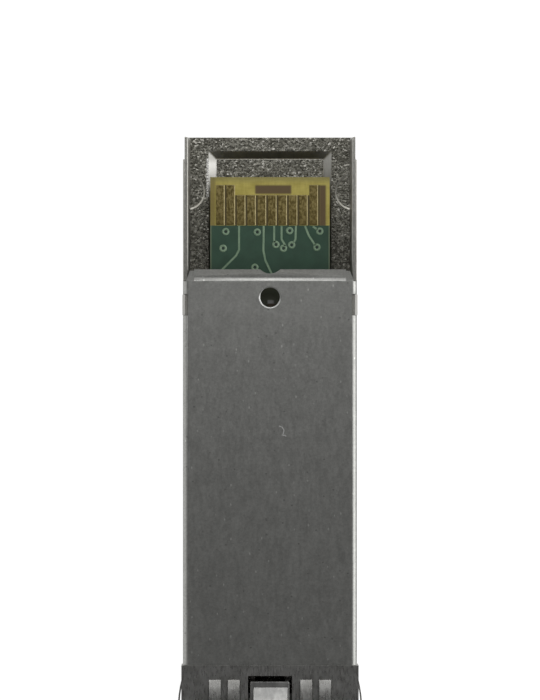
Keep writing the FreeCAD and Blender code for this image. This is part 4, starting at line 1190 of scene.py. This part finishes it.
@dataclass
class OpticalEngine(SubAssembly):
    """The two optical sub-assemblies and the fork that holds them."""

    steel: TurnedMetal = TurnedMetal("turned_steel_skin", (0.52, 0.51, 0.49), (0.68, 0.67, 0.65), 0.28)
    zirconia: Moulding = Moulding("zirconia_skin", (0.78, 0.77, 0.73), (0.88, 0.87, 0.84), 0.3, 0.0)
    can: TurnedMetal = TurnedMetal("can_gold_skin", (0.70, 0.55, 0.27), (0.86, 0.70, 0.38), 0.26)
    film: FlexFilm = FlexFilm("flex_film_skin", (0.32, 0.13, 0.02), (0.45, 0.2, 0.04), 0.35, 0.0)
    fork: DrawnWire = DrawnWire("clamp_steel_skin", (0.5, 0.5, 0.49), (0.66, 0.66, 0.64), 0.34)

    def dress(self) -> None:
        """Give the barrels, sleeves, cans, films and the fork their finishes."""
        for part, finish in (
            ("barrel", self.steel),
            ("sleeve", self.zirconia),
            ("can", self.can),
            ("flex", self.film),
        ):
            skin = finish.make()
            for side in ("transmitter", "receiver"):
                self.paint(f"{side}_{part}", skin)
        self.paint("optics_clamp", self.fork.make())


@dataclass
class ShieldCollar(SubAssembly):
    """The spring-finger collar around the front of the cover."""

    finish: DrawnWire = DrawnWire("collar_spring_skin", (0.56, 0.555, 0.53), (0.72, 0.715, 0.69), 0.3)

    def dress(self) -> None:
        """Give the collar its spring-steel skin."""
        self.paint("shield_collar", self.finish.make())


@dataclass
class LatchWorks(SubAssembly):
    """Lever, pin, leaf spring and bail."""

    floor_mm: float = 7.03
    spring_rise_mm: float = 0.485
    spring_span_mm: float = 2.6
    spring_width_mm: float = 1.8
    spring_sheet_mm: float = 0.1
    spring_middle_mm: float = -2.92
    spring_keep: float = 0.5
    spring_steps: int = 24
    lever_edge_mm: float = 0.06
    lever: DrawnWire = DrawnWire("lever_steel_skin", (0.44, 0.44, 0.43), (0.62, 0.62, 0.60), 0.36)
    pin: TurnedMetal = TurnedMetal("pin_steel_skin", (0.55, 0.55, 0.53), (0.7, 0.7, 0.68), 0.28)
    leaf: DrawnWire = DrawnWire("leaf_spring_skin", (0.46, 0.455, 0.43), (0.62, 0.615, 0.59), 0.32)
    wire: DrawnWire = DrawnWire("bail_wire_skin", (0.52, 0.52, 0.505), (0.7, 0.7, 0.68), 0.3)

    def build(self) -> None:
        """Make the bowed leaf spring at rest, in place of the CAD spring."""
        steps = self.spring_steps
        half = self.spring_span_mm / 2
        radius = half * half / (2 * self.spring_rise_mm) + self.spring_rise_mm / 2
        reach = math.asin(half / radius)
        middle = Vector((0.0, self.spring_middle_mm, self.floor_mm + self.spring_rise_mm - radius))
        points: list[Point] = []
        for index in range(steps + 1):
            turn = reach * (2 * index / steps - 1)
            for depth in (0.0, self.spring_sheet_mm):
                along = middle.y + (radius - depth) * math.sin(turn)
                up = max(middle.z + (radius - depth) * math.cos(turn), self.floor_mm)
                points.extend((side * self.spring_width_mm / 2, along, up) for side in (-1, 1))
        faces: list[tuple[int, ...]] = [(0, 1, 3, 2)]
        for index in range(steps):
            a = 4 * index
            b = a + 4
            faces.extend([(a, b, b + 1, a + 1), (a + 2, a + 3, b + 3, b + 2)])
            faces.extend([(a, a + 2, b + 2, b), (a + 1, b + 1, b + 3, a + 3)])
        last = 4 * steps
        faces.append((last, last + 2, last + 3, last + 1))
        mesh = bpy.data.meshes.new("leaf_spring")
        mesh.from_pydata([tuple(c * MM for c in point) for point in points], [], faces)
        mesh.materials.append(self.leaf.make())
        made = show("leaf_spring", mesh)
        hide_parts("latch_spring")
        self.add(made, "spring_steel")
        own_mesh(made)

    def dress(self) -> None:
        """Give the lever, the pin and the bail their finishes."""
        self.paint("latch_lever", self.lever.make())
        self.ease("latch_lever", self.lever_edge_mm)
        self.paint("latch_pivot_pin", self.pin.make())
        self.paint("bail", self.wire.make())


@dataclass
class Studio:
    """Floor, surrounding light, lamps and camera."""

    frame_high_mm: float = 700 / 13
    look_at_mm: Point = (0.0, 28.57, 8.5)
    distance_mm: float = 1000.0
    sensor_mm: float = 36.0
    clip_mm: Spot = (10.0, 20000.0)
    above: float = 0.032
    from_right: float = 1.2
    from_left: float = 0.9
    from_front: float = 0.7
    lamps: tuple[tuple[str, Point, float, float], ...] = (
        ("rear_softbox", (-8.0, 119.0, 103.0), 150.0, 0.0196),
        ("right_softbox", (205.0, 56.0, 140.0), 250.0, 0.17),
        ("top_lamp", (0.0, 82.0, 100.0), 62.0, 0.0146),
    )
    floor_half_mm: float = 3000.0
    floor_drop_mm: float = 0.01
    floor_greys: tuple[Colour, Colour] = ((0.78, 0.78, 0.78), (0.8, 0.8, 0.8))
    floor_cloud_mm: float = 400.0
    floor_seen: Colour = (0.5, 0.5, 0.5)
    floor_glow: float = 0.88
    floor_in_metal: float = 0.3

    def floor(self) -> None:
        """Lay the floor: white to the eye, fainter in the metal, pale grey to the light."""
        side = self.floor_half_mm * MM
        drop = -self.floor_drop_mm * MM
        mesh = bpy.data.meshes.new("floor")
        corners = [(-side, -side, drop), (side, -side, drop), (side, side, drop), (-side, side, drop)]
        mesh.from_pydata(corners, [], [(0, 1, 2, 3)])
        made = show("floor", mesh)
        bench = ShaderBench("floor_white")
        bench.tree.nodes.remove(bench.surface)
        grey = bench.blend(bench.noise(self.floor_cloud_mm), *self.floor_greys)
        matt = bench.grow("ShaderNodeBsdfDiffuse", {"Color": grey})
        soft = bench.grow("ShaderNodeBsdfDiffuse", {"Color": self.floor_seen})
        glow = bench.grow("ShaderNodeEmission", {"Strength": self.floor_glow})
        seen = bench.grow("ShaderNodeAddShader", {0: soft, 1: glow})
        path = bench.node("ShaderNodeLightPath")
        shown = path.outputs["Is Camera Ray"]
        for ray in ("Is Glossy Ray", "Is Transmission Ray"):
            shown = bench.calc("MAXIMUM", shown, bench.times(path.outputs[ray], self.floor_in_metal))
        mixed = bench.grow("ShaderNodeMixShader", {0: shown, 1: matt, 2: seen})
        bench.feed(bench.output.inputs["Surface"], mixed)
        made.data.materials.append(bench.material)

    def surroundings(self) -> None:
        """Surround the part with soft cards: bright at its sides and front, dim above, dark behind."""
        world = bpy.data.worlds.new("studio_cards")
        bpy.context.scene.world = world
        world.use_nodes = True
        bench = NodeBench(world.node_tree)
        bench.tree.nodes.clear()
        where = bench.grow("ShaderNodeTexCoord", {}, "Generated")
        split = bench.node("ShaderNodeSeparateXYZ")
        bench.feed(split.inputs[0], where)
        x, y, z = split.outputs
        total: object = 0.0
        for axis, sign, level in (
            (x, 1.0, self.from_right),
            (x, -1.0, self.from_left),
            (y, -1.0, self.from_front),
        ):
            share = bench.calc("MAXIMUM", bench.times(axis, sign), 0.0)
            total = bench.calc("ADD", total, bench.times(bench.times(share, share), level))
        total = bench.calc("ADD", total, bench.times(bench.times(z, z), self.above))
        seen = bench.grow("ShaderNodeLightPath", {}, "Is Camera Ray")
        strength = bench.grow("ShaderNodeMix", {0: seen, 2: total, 3: 1.0}, data_type="FLOAT")
        light = bench.grow("ShaderNodeBackground", {"Strength": strength})
        output = bench.node("ShaderNodeOutputWorld")
        bench.feed(output.inputs["Surface"], light)

    def lamp(self, name: str, place_mm: Point, size_mm: float, power: float) -> None:
        """Hang one square soft lamp that looks at the part.

        Args:
            name: Name of the lamp.
            place_mm: Where it hangs.
            size_mm: Side of its face.
            power: Power in watts.
        """
        data = bpy.data.lights.new(name, "AREA")
        data.shape = "SQUARE"
        data.size = size_mm * MM
        data.energy = power
        made = show(name, data)
        spot = Vector(place_mm) * MM
        made.location = spot
        aim = Vector(self.look_at_mm) * MM - spot
        made.rotation_euler = aim.to_track_quat("-Z", "Y").to_euler()

    def camera(self) -> None:
        """Hang the camera over the cover, as in the photograph."""
        data = bpy.data.cameras.new("overhead")
        data.sensor_width = self.sensor_mm
        data.lens = self.sensor_mm * self.distance_mm / self.frame_high_mm
        data.clip_start, data.clip_end = (c * MM for c in self.clip_mm)
        made = show("overhead", data)
        target = Vector(self.look_at_mm) * MM
        made.location = target + Vector((0, 0, self.distance_mm * MM))
        bpy.context.scene.camera = made

    def build(self) -> None:
        """Set up the whole studio."""
        bpy.context.scene.view_settings.view_transform = "Standard"
        self.floor()
        self.surroundings()
        for lamp in self.lamps:
            self.lamp(*lamp)
        self.camera()


def main() -> None:
    """Build and dress every sub-assembly in order and set up the studio."""
    logging.basicConfig(level=logging.INFO, format="%(name)s: %(message)s")
    casting = DieCasting()
    cover = FoldedCover()
    board = CircuitBoard()
    optics = OpticalEngine()
    collar = ShieldCollar()
    latch = LatchWorks()
    for group in (cover, board, latch):
        group.build()
    for group in (casting, cover, board, optics, collar, latch):
        group.dress()
    Studio().build()


if __name__ == "__main__":
    main()
